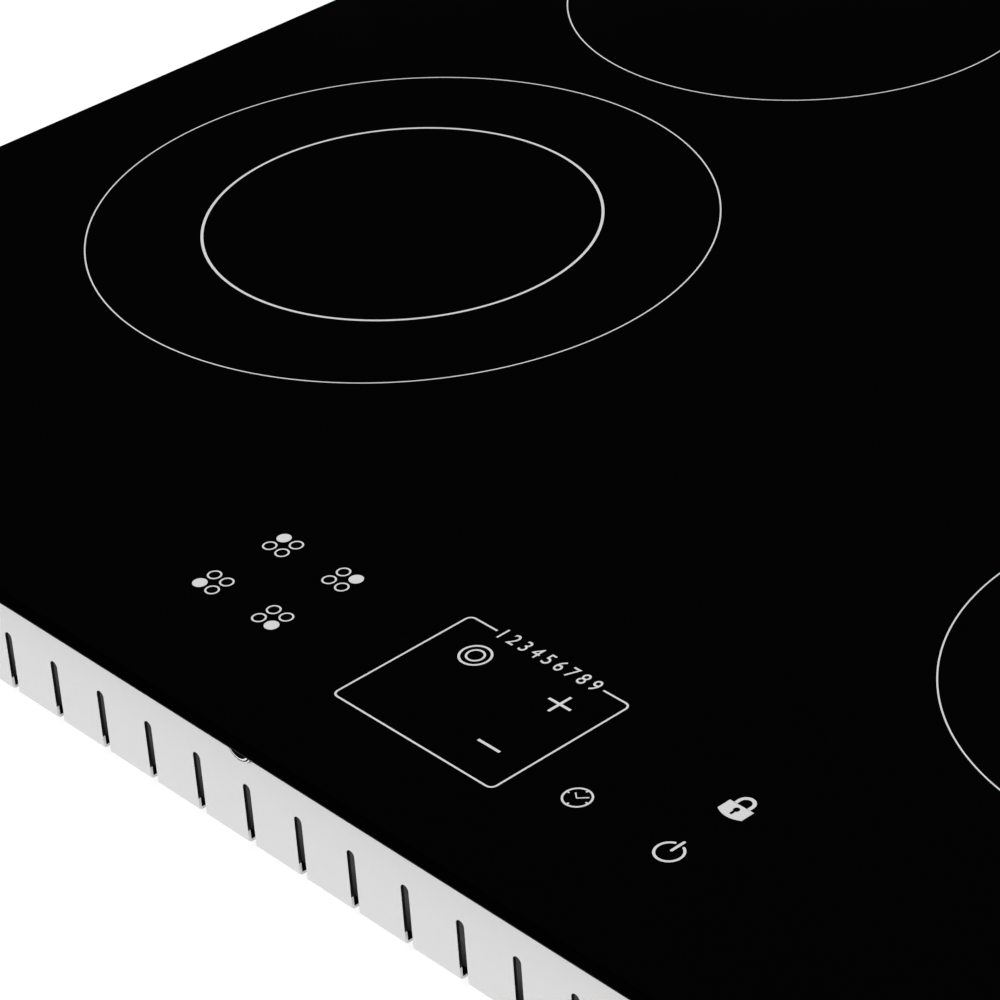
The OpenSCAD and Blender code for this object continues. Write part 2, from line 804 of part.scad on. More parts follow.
module clamp_screws() {
    head_h = bracket_z - sheet_t - 0.2;
    color([0.78, 0.75, 0.6])
    on_both_sides() for (y = clamp_y) translate([clamp_axis_x, y, 0]) {
        translate([0, 0, bracket_z - head_h]) difference() {
            cylinder(h = head_h, r = clamp_head_r);
            cube([5, 1, 2], center = true);
            cube([1, 5, 2], center = true);
        }
        translate([0, 0, bracket_z]) cylinder(h = bracket_h, r = clamp_screw_r);
        translate([0, 0, bracket_z + bracket_h]) cylinder(h = 0.5, r = clamp_head_r);
    }
}

// Swinging arm on its screw, pointing to the back, with a raised tip
module clamp(side, y) {
    color([0.62, 0.63, 0.64])
    translate([side * clamp_axis_x, y, clamp_z]) difference() {
        union() {
            cylinder(h = clamp_t, r = clamp_w / 2);
            cylinder(h = clamp_t + 4, r = clamp_boss_r);
            translate([-clamp_w / 2, 0, 0]) cube([clamp_w, clamp_reach, clamp_t]);
            translate([-clamp_w / 2, clamp_reach - clamp_t, 0])
                cube([clamp_w, clamp_t, clamp_t + clamp_tip]);
        }
        translate([0, 0, -cut]) cylinder(h = 20, r = clamp_screw_r + bore_gap);
    }
}

left_zones = [front_left, back_left];
right_zones = [front_right, back_right];
board_green = [0.1, 0.3, 0.16];
alu = [0.8, 0.81, 0.82];
mica = [0.72, 0.7, 0.62];
ferrite = [0.2, 0.2, 0.21];
steel = [0.7, 0.7, 0.72];

glass_top();
glass_adhesive();
support_frame();
worktop_seal();
base_tray();
frame_screws();
front_baffle();
color(alu) mirror([1, 0, 0]) coil_plate(left_zones);  // left_coil_plate
color(alu) coil_plate(right_zones);  // right_coil_plate
color(mica) mirror([1, 0, 0]) mica_sheet(left_zones);  // left_mica_sheet
color(mica) mica_sheet(right_zones);  // right_mica_sheet
color(steel) mirror([1, 0, 0]) deck_springs();  // left_deck_springs
color(steel) deck_springs();  // right_deck_springs
color(ferrite) for (z = left_zones) zone_ferrites(z);  // left_ferrites
color(ferrite) for (z = right_zones) zone_ferrites(z);  // right_ferrites
coil_former(front_left);  // front_left_coil_former
coil_former(back_left);  // back_left_coil_former
coil_former(front_right);  // front_right_coil_former
coil_former(back_right);  // back_right_coil_former
winding(front_left, large_zone_r - coil_inset, inner_zone_r + 3);  // front_left_outer_winding
winding(front_left, inner_zone_r - 3, winding_hole_r);  // front_left_inner_winding
winding(back_left, small_zone_r - coil_inset, winding_hole_r);  // back_left_winding
winding(front_right, small_zone_r - coil_inset, winding_hole_r);  // front_right_winding
winding(back_right, large_zone_r - coil_inset, winding_hole_r);  // back_right_winding
sensor(front_left);  // front_left_sensor
sensor(back_left);  // back_left_sensor
sensor(front_right);  // front_right_sensor
sensor(back_right);  // back_right_sensor
color(board_green) mirror([1, 0, 0]) power_board();  // left_power_board
color(board_green) power_board();  // right_power_board
color("goldenrod") mirror([1, 0, 0]) board_parts();  // left_board_parts
color("goldenrod") board_parts();  // right_board_parts
color(alu) mirror([1, 0, 0]) heatsink();  // left_heatsink
color(alu) heatsink();  // right_heatsink
color(ferrite) mirror([1, 0, 0]) transistors();  // left_transistors
color(ferrite) transistors();  // right_transistors
translate([-fan_x, fan_y, 0]) fan_housing();  // left_fan_housing
translate([fan_x, fan_y, 0]) fan_housing();  // right_fan_housing
translate([-fan_x, fan_y, 0]) fan_impeller();  // left_fan_impeller
translate([fan_x, fan_y, 0]) fan_impeller();  // right_fan_impeller
filter_board();
filter_parts();
board_pillars();
terminal_block();
terminal_screws();
cable_inlet();
control_carrier();
control_springs();
touch_board();
key_springs();
display_module();
clamp_brackets();
clamp_screws();
clamp(-1, clamp_y[0]);  // front_left_clamp
clamp(-1, clamp_y[1]);  // back_left_clamp
clamp(1, clamp_y[0]);  // front_right_clamp
clamp(1, clamp_y[1]);  // back_right_clamp
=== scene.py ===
import json
import math

import bpy
import numpy as np
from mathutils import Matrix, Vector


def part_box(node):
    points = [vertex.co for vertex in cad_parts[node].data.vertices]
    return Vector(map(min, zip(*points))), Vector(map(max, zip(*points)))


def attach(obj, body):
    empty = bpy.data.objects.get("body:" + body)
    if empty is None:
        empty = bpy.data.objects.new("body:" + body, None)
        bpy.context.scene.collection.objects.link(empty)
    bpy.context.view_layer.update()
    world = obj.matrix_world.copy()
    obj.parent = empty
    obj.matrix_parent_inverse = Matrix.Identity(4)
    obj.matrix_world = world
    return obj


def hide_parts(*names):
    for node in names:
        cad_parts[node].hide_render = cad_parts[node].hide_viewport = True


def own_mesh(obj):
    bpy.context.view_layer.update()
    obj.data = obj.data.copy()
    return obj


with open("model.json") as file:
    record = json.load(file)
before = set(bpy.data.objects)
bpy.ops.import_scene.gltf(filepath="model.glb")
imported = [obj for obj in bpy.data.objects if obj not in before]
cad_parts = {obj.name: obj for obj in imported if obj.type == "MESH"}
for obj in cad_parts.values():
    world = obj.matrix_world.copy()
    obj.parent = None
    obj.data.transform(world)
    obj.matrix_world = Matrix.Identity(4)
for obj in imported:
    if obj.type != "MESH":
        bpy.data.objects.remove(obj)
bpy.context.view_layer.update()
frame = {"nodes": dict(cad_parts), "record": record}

# Lengths are millimetres until makePiece writes them into a mesh
millimetre = 0.001
tau = 2 * math.pi
tiny = 1e-9
sharpAngle = 35  # degrees between two faces from which their edge is sharp


class Value:  # a shader number; its operators add Math nodes
    def __init__(self, finish, socket):
        self.finish, self.socket = finish, socket

    def maths(self, operation, *others):
        return self.finish.number(operation, self, *others)

    def __add__(self, other): return self.maths("ADD", other)
    def __sub__(self, other): return self.maths("SUBTRACT", other)
    def __rsub__(self, other): return self.finish.number("SUBTRACT", other, self)
    def __mul__(self, other): return self.maths("MULTIPLY", other)
    def __truediv__(self, other): return self.maths("DIVIDE", other)
    def __abs__(self): return self.maths("ABSOLUTE")
    def __gt__(self, other): return self.maths("GREATER_THAN", other)
    def __lt__(self, other): return self.maths("LESS_THAN", other)
    def __and__(self, other): return self.maths("MULTIPLY", other)
    def __or__(self, other): return self.maths("MAXIMUM", other)
    __radd__ = __add__
    __rmul__ = __mul__

    def between(self, low, high, clampTo=(0, 1)):  # straight ramp from low to high
        return self.finish.node("ShaderNodeMapRange", {"clamp": True}, [self, low, high, *clampTo])


class Finish:  # one material around one Principled shader
    def __init__(self, name, colour, roughness, **fixed):
        self.material = bpy.data.materials.new(name)
        self.material.use_nodes = True
        self.tree = self.material.node_tree
        self.shader = self.tree.nodes["Principled BSDF"]
        fixed = {key.replace("_", " "): value for key, value in fixed.items()}
        fixed = {"Base Color": (*colour, 1), "Roughness": roughness, **fixed}
        for key, value in fixed.items():
            self.shader.inputs[key].default_value = value
        self.place = None

    def node(self, kind, settings=None, inputs=(), output=0):
        new = self.tree.nodes.new(kind)
        for key, value in (settings or {}).items():
            setattr(new, key, value)
        for key, value in (inputs.items() if isinstance(inputs, dict) else enumerate(inputs)):
            if isinstance(value, Value):
                self.tree.links.new(value.socket, new.inputs[key])
            elif value is not None:
                new.inputs[key].default_value = value
        return Value(self, new.outputs[output])

    def number(self, operation, *values):
        return self.node("ShaderNodeMath", {"operation": operation}, list(values))

    def where(self):  # object coordinates, in metres
        self.place = self.place or self.node("ShaderNodeTexCoord", output="Object")
        return self.place

    def along(self, axis):  # one object coordinate, in millimetres
        return self.node("ShaderNodeSeparateXYZ", {}, [self.where()], output=axis) * (1 / millimetre)

    def facing(self, axis):  # one part of the surface's direction
        normal = self.node("ShaderNodeNewGeometry", output="Normal")
        return self.node("ShaderNodeSeparateXYZ", {}, [normal], output=axis)

    def grain(self, size, detail=2.0, stretch=(1, 1, 1)):  # noise with features of about size millimetres
        place = self.node("ShaderNodeMapping", {}, {"Vector": self.where(), "Scale": stretch})
        scale = 1 / (size * millimetre)
        return self.node("ShaderNodeTexNoise", {}, {"Vector": place, "Scale": scale, "Detail": detail})

    def blend(self, factor, first, second):  # colours: the first at 0, the second at 1
        first, second = [(*c, 1) if isinstance(c, tuple) and len(c) == 3 else c for c in (first, second)]
        return self.node("ShaderNodeMix", {"data_type": "RGBA"}, {0: factor, 6: first, 7: second}, output=2)

    def feed(self, name, value):
        self.tree.links.new(value.socket, self.shader.inputs[name])
        return self

    def bump(self, height, depth, strength=1.0):  # depth in millimetres for a height of 0 to 1
        settings = {"Height": height, "Distance": depth * millimetre, "Strength": strength}
        return self.feed("Normal", self.node("ShaderNodeBump", {}, settings))


# A shell is a closed surface: its points, and its faces in groups of equal length

def gridShell(points, wrapAlong=False, cap=True):
    # quads between neighbours of an array of rings, shape (rings, pointsPerRing, 3); flat faces close the two ends
    rings, count = points.shape[:2]
    index = np.arange(rings * count).reshape(rings, count)
    rows = np.vstack([index, index[:1]]) if wrapAlong else index
    rows = np.hstack([rows, rows[:, :1]])
    quads = np.stack([rows[:-1, :-1], rows[:-1, 1:], rows[1:, 1:], rows[1:, :-1]], -1).reshape(-1, 4)
    faces = [quads]
    if cap and not wrapAlong:
        faces += [index[:1, ::-1], index[-1:]]
    return outward(points.reshape(-1, 3), faces)


def outward(points, faces):
    # volume under the faces as a sum of tetrahedra from the middle; a negative one means the shell is inside out
    shifted = points - points.mean(0)
    volume = 0
    for group in faces:
        for k in range(1, group.shape[1] - 1):
            a, b, c = shifted[group[:, 0]], shifted[group[:, k]], shifted[group[:, k + 1]]
            volume += np.einsum("ij,ij->", a, np.cross(b, c))
    return points, [group[:, ::-1] for group in faces] if volume < 0 else faces


def ringPoints(radius, count, centre=(0, 0), start=0.0):
    # x = cx + r cos t, y = cy + r sin t
    t = start + np.arange(count) * tau / count
    return np.stack([centre[0] + radius * np.cos(t), centre[1] + radius * np.sin(t)], -1)


def roundRect(width, depth, radius, centre=(0, 0), steps=6):
    # quarter circles around the four corner centres, joined by straight sides
    t = np.linspace(0, tau / 4, steps)
    turn = np.repeat(np.arange(4) * tau / 4, steps)
    angle = turn + np.tile(t, 4)
    sx, sy = np.sign(np.cos(turn + tau / 8)), np.sign(np.sin(turn + tau / 8))
    x = centre[0] + sx * (width / 2 - radius) + radius * np.cos(angle)
    y = centre[1] + sy * (depth / 2 - radius) + radius * np.sin(angle)
    return np.stack([x, y], -1)


def slab(outlineAt, profile):
    # one outline for each (inset, height) of the profile, joined from bottom to top
    outlines = [(outlineAt(inset), z) for inset, z in profile]
    return gridShell(np.array([np.column_stack([outline, np.full(len(outline), z)]) for outline, z in outlines]))


def block(low, high, edge=0.3, corner=None, steps=3):
    # a box with rounded uprights and softened top and bottom edges
    low, high = np.asarray(low, float), np.asarray(high, float)
    size, middle = high - low, (low + high) / 2
    edge = min(edge, size.min() * 0.45)  # less than half of the thinnest way
    corner = min(corner or edge, size[0] * 0.49, size[1] * 0.49)
    def outlineAt(inset):
        return roundRect(size[0] - 2 * inset, size[1] - 2 * inset, max(corner - inset, corner * 0.2), middle, steps)
    return slab(outlineAt, [(edge, low[2]), (0, low[2] + edge), (0, high[2] - edge), (edge, high[2])])


def lathe(profile, centre=(0, 0), count=48, closed=True):
    # a profile of (radius, height) turned about an upright axis
    profile = np.array(profile, float)
    t = np.arange(count) * tau / count
    r, z = profile[:, 0, None], profile[:, 1, None]
    points = np.stack([centre[0] + r * np.cos(t), centre[1] + r * np.sin(t), z + 0 * t], -1)
    return gridShell(points, wrapAlong=closed, cap=not closed)


def sweep(path, section, upright=(0, 0, 1), closed=False):
    # section points (across, up) are set square to the path's direction at each point
    path = np.asarray(path, float)
    ahead = np.roll(path, -1, 0) - np.roll(path, 1, 0)
    if not closed:
        ahead[0], ahead[-1] = path[1] - path[0], path[-1] - path[-2]
    ahead /= np.linalg.norm(ahead, axis=1, keepdims=True)
    across = np.cross(ahead, np.broadcast_to(np.asarray(upright, float), path.shape))
    across /= np.linalg.norm(across, axis=1, keepdims=True) + tiny
    up = np.cross(across, ahead)
    section = np.asarray(section, float)
    points = path[:, None] + across[:, None] * section[None, :, :1] + up[:, None] * section[None, :, 1:]
    return gridShell(points, wrapAlong=closed)


def wire(path, radius, sides=8, upright=(0, 0, 1), closed=False):  # a round section with a flat side down
    return sweep(path, ringPoints(radius, sides, start=tau / (2 * sides)), upright, closed)


def shift(shell, by):
    return shell[0] + np.asarray(by, float), shell[1]


def turned(shell, matrix):
    return outward(shell[0] @ np.asarray(matrix, float).T, shell[1])


def makePiece(name, shells, finish, body, replaces=()):
    # all shells in one mesh, in metres, with the object at the origin
    points = np.concatenate([p for p, _ in shells])
    offsets = np.cumsum([0] + [len(p) for p, _ in shells])
    groups = [group + start for (_, faces), start in zip(shells, offsets) for group in faces]
    corners = np.concatenate([g.ravel() for g in groups])
    sizes = np.concatenate([np.full(len(g), g.shape[1]) for g in groups])
    mesh = bpy.data.meshes.new(name)
    mesh.vertices.add(len(points))
    mesh.vertices.foreach_set("co", (points * millimetre).ravel().astype(np.float32))
    mesh.loops.add(len(corners))
    mesh.loops.foreach_set("vertex_index", corners.astype(np.int32))
    mesh.polygons.add(len(sizes))
    mesh.polygons.foreach_set("loop_start", np.concatenate([[0], np.cumsum(sizes)[:-1]]).astype(np.int32))
    mesh.update(calc_edges=True)
    mesh.validate()
    mesh.set_sharp_from_angle(angle=math.radians(sharpAngle))
    mesh.polygons.foreach_set("use_smooth", sizes == 4)  # end faces stay flat
    piece = bpy.data.objects.new(name, mesh)
    bpy.context.scene.collection.objects.link(piece)
    mesh.materials.append(finish.material)
    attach(piece, body)
    if replaces:
        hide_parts(*replaces)
    return piece


def setAttribute(piece, name, values):  # one number for each point of the mesh
    attribute = piece.data.attributes.new(name, "FLOAT", "POINT")
    attribute.data.foreach_set("value", values.astype(np.float32))


def dress(finish, *nodes):  # a CAD node keeps its shape and takes a finish
    for name in nodes:
        materials = frame["nodes"][name].data.materials
        for k in range(max(1, len(materials))):
            if materials:
                materials[k] = finish.material
            else:
                materials.append(finish.material)


def nodeBox(name):  # lowest and highest corner of a CAD node, in millimetres
    low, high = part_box(name)
    return np.array(low) / millimetre, np.array(high) / millimetre


def middleOf(name):
    low, high = nodeBox(name)
    return (low + high) / 2


cameraSettings = {
    "place": (0.6709, -0.72525, 0.61485),
    "turn": (57.736, 3.495, 47.484),  # degrees
    "lens": 145.725,
    "sensor": 36,
    "clip": (0.01, 20),
}

def setCamera(s):
    lens = bpy.data.cameras.new("camera")
    lens.lens, lens.sensor_width = s["lens"], s["sensor"]
    lens.clip_start, lens.clip_end = s["clip"]
    camera = bpy.data.objects.new("camera", lens)
    camera.location = s["place"]
    camera.rotation_euler = [math.radians(a) for a in s["turn"]]
    bpy.context.scene.collection.objects.link(camera)
    bpy.context.scene.camera = camera

setCamera(cameraSettings)
print("camera set")

studioSettings = {
    "floorSize": 12.0,
    "floorColour": (0.74, 0.74, 0.74),
    "floorRoughness": 0.9,
    "floorDrop": 0.0003,
    "floorGlow": 0.70,     # share of the floor's white that no shadow takes away
    "glowSeen": 1.2,       # strength where the floor is seen, mirrored or looked through
    "glowGiven": 0.70,     # what the floor sends back to the object
    "skyLight": 0.43,      # even light from all round
    "skyShown": 1.0,       # white behind the object
    "ceiling": (0.08, 0.42),  # sine of the height over which reflections fall from white to dark
    "ceilingDark": 0.004,
    "suns": {              # direction the light travels, strength, angle in degrees
        "keySun": ((0.10, 0.90, -0.42), 1.26, 25),
        "rightSun": ((-0.85, 0.15, -0.46), 1.0, 30),
        "leftSun": ((0.85, 0.10, -0.46), 1.0, 30),
        "backSun": ((-0.45, -0.75, -0.50), 1.1, 30),
    },
}

def setStudio(s):
    half, z = s["floorSize"] / 2, -s["floorDrop"]
    corners = [(x * half, y * half, z) for x, y in ((-1, -1), (1, -1), (1, 1), (-1, 1))]
    mesh = bpy.data.meshes.new("floor")
    mesh.from_pydata(corners, [], [(0, 1, 2, 3)])
    floor = bpy.data.objects.new("floor", mesh)
    bpy.context.scene.collection.objects.link(floor)
    paper = Finish("floorPaper", s["floorColour"], s["floorRoughness"], Specular_IOR_Level=0.0)
    mesh.materials.append(paper.material)
    seen = paper.node("ShaderNodeLightPath", output="Is Camera Ray")
    for ray in ("Is Glossy Ray", "Is Transmission Ray"):
        seen = seen | paper.node("ShaderNodeLightPath", output=ray)
    strength = seen * (s["glowSeen"] - s["glowGiven"]) + s["glowGiven"]
    glow = paper.node("ShaderNodeEmission", {}, {"Color": (1, 1, 1, 1), "Strength": strength})
    share = seen * (s["floorGlow"] - 1) + 1
    mixed = paper.node("ShaderNodeMixShader", {}, [share, Value(paper, paper.shader.outputs[0]), glow])
    below = paper.node("ShaderNodeNewGeometry", output="Backfacing")  # nothing of the floor shows from below
    clear = paper.node("ShaderNodeBsdfTransparent")
    oneSided = paper.node("ShaderNodeMixShader", {}, [below, mixed, clear])
    paper.tree.links.new(oneSided.socket, paper.tree.nodes["Material Output"].inputs["Surface"])

    world = bpy.data.worlds.new("studio")
    bpy.context.scene.world = world
    world.use_nodes = True
    sky = Finish.__new__(Finish)  # the world has no Principled shader
    sky.tree, sky.place = world.node_tree, None
    seen = sky.node("ShaderNodeLightPath", output="Is Camera Ray")
    seen = seen | sky.node("ShaderNodeLightPath", output="Is Transmission Ray")
    glossy = sky.node("ShaderNodeLightPath", output="Is Glossy Ray")
    direction = sky.node("ShaderNodeTexCoord", output="Generated")
    height = sky.node("ShaderNodeSeparateXYZ", {}, [direction], output="Z")
    mirrored = height.between(*s["ceiling"], clampTo=(s["skyShown"], s["ceilingDark"]))
    strength = seen * s["skyShown"] + (1 - seen) * (glossy * mirrored + (1 - glossy) * s["skyLight"])
    background = world.node_tree.nodes["Background"]
    world.node_tree.links.new(strength.socket, background.inputs["Strength"])
    background.inputs["Color"].default_value = (1, 1, 1, 1)

    for name, (travel, strength, angle) in s["suns"].items():
        lamp = bpy.data.lights.new(name, "SUN")
        lamp.energy, lamp.angle = strength, math.radians(angle)
        sun = bpy.data.objects.new(name, lamp)
        travel = np.array(travel) / np.linalg.norm(travel)
        sun.rotation_euler = (math.acos(-travel[2]), 0, math.atan2(travel[0], -travel[1]) + math.pi)
        bpy.context.scene.collection.objects.link(sun)

setStudio(studioSettings)
bpy.context.scene.view_settings.view_transform = "Standard"
print("floor and light set")


glassLow, glassHigh = nodeBox("glass_top")
glassSize, glassMiddle = glassHigh - glassLow, (glassLow + glassHigh) / 2
printThickness = 0.03
glassSurface = glassHigh[2] - printThickness  # the print stands on this height
printSink = 0.02                              # and reaches this far into the glass

glassSettings = {
    "cornerRadius": 6.0,
    "cornerSteps": 14,
    "edgeRound": 0.7,
    "edgeSteps": 5,
    "underRound": 0.6,        # rounding of the lower edge, as a share of the upper one
    "colour": (0.0019, 0.0019, 0.0020),
    "roughness": (0.035, 0.06),
    "edgeColour": (0.0011, 0.0011, 0.0011),
    "rimFacing": 0.99,        # faces that look up or down by less belong to the ground rim
}

def makeGlass(s):
    # the outline, drawn in by r (1 - cos t) at a height of r sin t above the edge's foot
    glass = Finish("blackGlass", s["colour"], 0.045, IOR=1.5, Specular_IOR_Level=0.4)
    glass.feed("Roughness", glass.grain(30, 3).between(0.3, 0.7, s["roughness"]))
    glass.bump(glass.grain(120, 1), 0.02, 0.25)
    ground = Finish("groundEdge", s["edgeColour"], 0.6, IOR=1.02, Specular_IOR_Level=0.0)
    ground.bump(ground.grain(0.3, 2), 0.01, 0.4)
    t = np.linspace(0, tau / 4, s["edgeSteps"])
    rise = np.column_stack([s["edgeRound"] * (1 - np.cos(t)), s["edgeRound"] * np.sin(t)])
    under = s["underRound"]
    top = [(inset, glassSurface - s["edgeRound"] + up) for inset, up in rise]
    bottom = [(inset * under, glassLow[2] + under * (s["edgeRound"] - up)) for inset, up in rise[::-1]]
    def outlineAt(inset):
        size = glassSize - 2 * inset
        return roundRect(size[0], size[1], s["cornerRadius"] - inset, glassMiddle, s["cornerSteps"])
    piece = makePiece("glass_sheet", [slab(outlineAt, bottom + top)], glass, "hob", ["glass_top"])
    sheet = piece.data
    sheet.materials.append(ground.material)
    facing = np.zeros(len(sheet.polygons) * 3)
    sheet.polygons.foreach_get("normal", facing)
    rim = np.abs(facing[2::3]) < s["rimFacing"]
    sheet.polygons.foreach_set("material_index", rim.astype(np.int32))
    return piece


def hideLamps(piece):  # the lamps light everything but this piece, which would mirror their discs
    unlit = bpy.data.collections.new("unlit")
    unlit.objects.link(piece)
    unlit.collection_objects[0].light_linking.link_state = "EXCLUDE"
    for name in studioSettings["suns"]:
        bpy.data.objects[name].light_linking.receiver_collection = unlit

hideLamps(makeGlass(glassSettings))


def printLine(path, width, closed=False, rounded=False):
    # a flat ribbon of ink along a path of (x, y), its middle line at the path
    path = np.asarray(path, float)
    if rounded:  # the ends run out in half circles: a sine ahead, a cosine wide
        t = np.linspace(0, 0.97 * tau / 4, 5)[1:]
        first, last = [
            tip + (tip - inner) / np.linalg.norm(tip - inner) * width / 2 * np.sin(t)[:, None]
            for tip, inner in ((path[0], path[1]), (path[-1], path[-2]))
        ]
        ends = width * np.cos(t)
        half = np.concatenate([ends[::-1], np.full(len(path), width), ends]) / 2
        path = np.vstack([first[::-1], path, last])
    else:
        half = np.full(len(path), width / 2)
    ahead = np.roll(path, -1, 0) - np.roll(path, 1, 0)
    if not closed:
        ahead[0], ahead[-1] = path[1] - path[0], path[-1] - path[-2]
    ahead /= np.linalg.norm(ahead, axis=1, keepdims=True)
    side = np.column_stack([-ahead[:, 1], ahead[:, 0]]) * half[:, None]
    return inkStrip(path + side, path - side, closed)


def inkStrip(left, right, closed=False):  # ink between two lines of (x, y)
    z0, z1 = np.full((len(left), 1), glassSurface - printSink), np.full((len(left), 1), glassHigh[2])
    corners = [(left, z0), (right, z0), (right, z1), (left, z1)]
    return gridShell(np.stack([np.hstack(c) for c in corners], 1), wrapAlong=closed)


def printRing(centre, radius, width, count=128):
    return printLine(ringPoints(radius, count, centre), width, closed=True)


def printPatch(outline):  # a filled outline of (x, y)
    return slab(lambda inset: outline, [(0, glassSurface - printSink), (0, glassHigh[2])])


def printArc(centre, radius, width, fromAngle, toAngle, count):
    t = np.radians(np.linspace(fromAngle, toAngle, count))
    arc = np.column_stack([centre[0] + radius * np.cos(t), centre[1] + radius * np.sin(t)])
    return printLine(arc, width, rounded=True)


ink = Finish("printedInk", (0.64, 0.64, 0.64), 0.42, Specular_IOR_Level=0.3)
ink.feed("Base Color", ink.blend(ink.grain(0.5, 2), (0.60, 0.60, 0.60), (0.67, 0.67, 0.67)))
ink.bump(ink.grain(0.2, 1), 0.01, 0.3)

zonePrint = {
    "front_left_outer_winding": [(95.0, 0.44), (60.0, 0.84)],  # ring radius and line width
    "back_left_winding": [(77.5, 0.44)],
    "front_right_winding": [(77.5, 0.44)],
    "back_right_winding": [(95.0, 0.44)],
}

makePiece("zone_rings", [
    printRing(middleOf(node), radius, width, 256)
    for node, rings in zonePrint.items() for radius, width in rings
], ink, "hob")

keyPrint = {
    "line": 52.2,            # keys' middle line from the glass's front edge
    "rowGap": 23.6,
    "zoneColumns": (-47.77, -23.72),
    "dotPitch": (5.05, 4.93),
    "dotRadius": 2.03,
    "dotLine": 0.5,
    "mainColumn": 27.4,      # the first of four columns
    "mainPitch": 31.03,
    "frameX": (13.15, 72.1),
    "frameY": (28.5, 75.4),  # from the glass's front edge
    "frameCorner": 1.8,
    "frameLine": 0.56,
    "frameGap": (23.35, 62.15),
    "dualRings": [(4.2, 0.64, 64), (2.37, 0.6, 48)],  # radius, line width, points
    "signArm": 3.9,          # plus and minus
    "signLine": 0.8,
    "plusDrop": 0.2,
    "minusDrop": 0.15,
    "clockRing": (3.69, 0.55),
    "clockTicks": (2.85, 3.4, 0.5),           # from, to, line width
    "clockHands": [(-1.75, 1.05), (0, -0.3), (2.1, 1.9)],
    "clockHandLine": 0.42,
    "powerArc": (3.63, 0.7, 23.5),            # radius, line width, half the opening in degrees
    "powerBar": (0.8, 4.9, 0.8),              # from, to, line width
}

padlock = {
    "halfWidth": 3.95,
    "top": 0.4,              # body's upper edge above the middle of the key
    "sideHeight": 4.15,
    "bulge": 1.15,           # how much deeper the body is in its middle
    "holeRadius": 0.88,      # keyhole
    "holeDrop": 1.4,
    "stemHalf": 0.4,
    "stemFoot": 3.6,
    "bowRadius": 2.12,
    "bowLine": 1.0,
    "bowRise": 1.7,
}

def zoneSign(centre, own, s):  # four small hobs, the one of its own zone filled
    shells = []
    for a in (0, 1):
        for b in (0, 1):
            dot = (centre[0] + (a - 0.5) * s["dotPitch"][0], centre[1] + (b - 0.5) * s["dotPitch"][1])
            if (a, b) == own:
                shells.append(printPatch(ringPoints(s["dotRadius"], 40, dot)))
            else:
                shells.append(printRing(dot, s["dotRadius"] - s["dotLine"] / 2, s["dotLine"], 40))
    return shells


def keyFrame(s):  # around the main keys, open at the back for the level numbers
    (x0, x1), (y0, y1) = s["frameX"], [glassLow[1] + y for y in s["frameY"]]
    line, steps = s["frameLine"], 8
    outline = roundRect(x1 - x0 - line, y1 - y0 - line, s["frameCorner"], ((x0 + x1) / 2, (y0 + y1) / 2), steps)
    y = y1 - line / 2
    path = np.vstack([[s["frameGap"][0], y], np.roll(outline, -steps, 0), [s["frameGap"][1], y]])
    return printLine(path, line)


def makePadlock(centre, s):
    # upright strips leave the keyhole open; the lower edge is y = top - side - bulge (1 - u u), with u from -1 to 1
    cx, cy = centre
    top, hole, stem = cy + s["top"], s["holeRadius"], s["stemHalf"]
    def foot(x):
        return top - s["sideHeight"] - s["bulge"] * (1 - ((x - cx) / s["halfWidth"]) ** 2)
    def holeHalf(x):  # half the keyhole's height there
        return np.sqrt(np.clip(hole ** 2 - (x - cx) ** 2, 0, None))
    def strip(x, low, high):
        return inkStrip(np.column_stack([x, low]), np.column_stack([x, high]))
    holeY = cy - s["holeDrop"]
    across = cx + np.linspace(-hole, hole, 17)
    stemX = cx + np.linspace(-stem, stem, 5)
    shells = [
        strip(across, holeY + holeHalf(across), np.full_like(across, top)),
        strip(stemX, foot(stemX), np.full_like(stemX, cy - s["stemFoot"])),
    ]
    for side in (-1, 1):
        outer = cx + side * np.linspace(hole, s["halfWidth"], 12)[::side]
        inner = cx + side * np.linspace(stem, hole, 7)[::side]
        shells.append(strip(outer, foot(outer), np.full_like(outer, top)))
        shells.append(strip(inner, foot(inner), holeY - holeHalf(inner)))
    angle = np.radians(np.linspace(0, 180, 30))
    bow, sunk = s["bowRadius"], top - 0.1
    arch = np.column_stack([cx + bow * np.cos(angle), cy + s["bowRise"] + bow * np.sin(angle)])
    shells.append(printLine(np.vstack([[cx + bow, sunk], arch, [cx - bow, sunk]]), s["bowLine"]))
    return shells


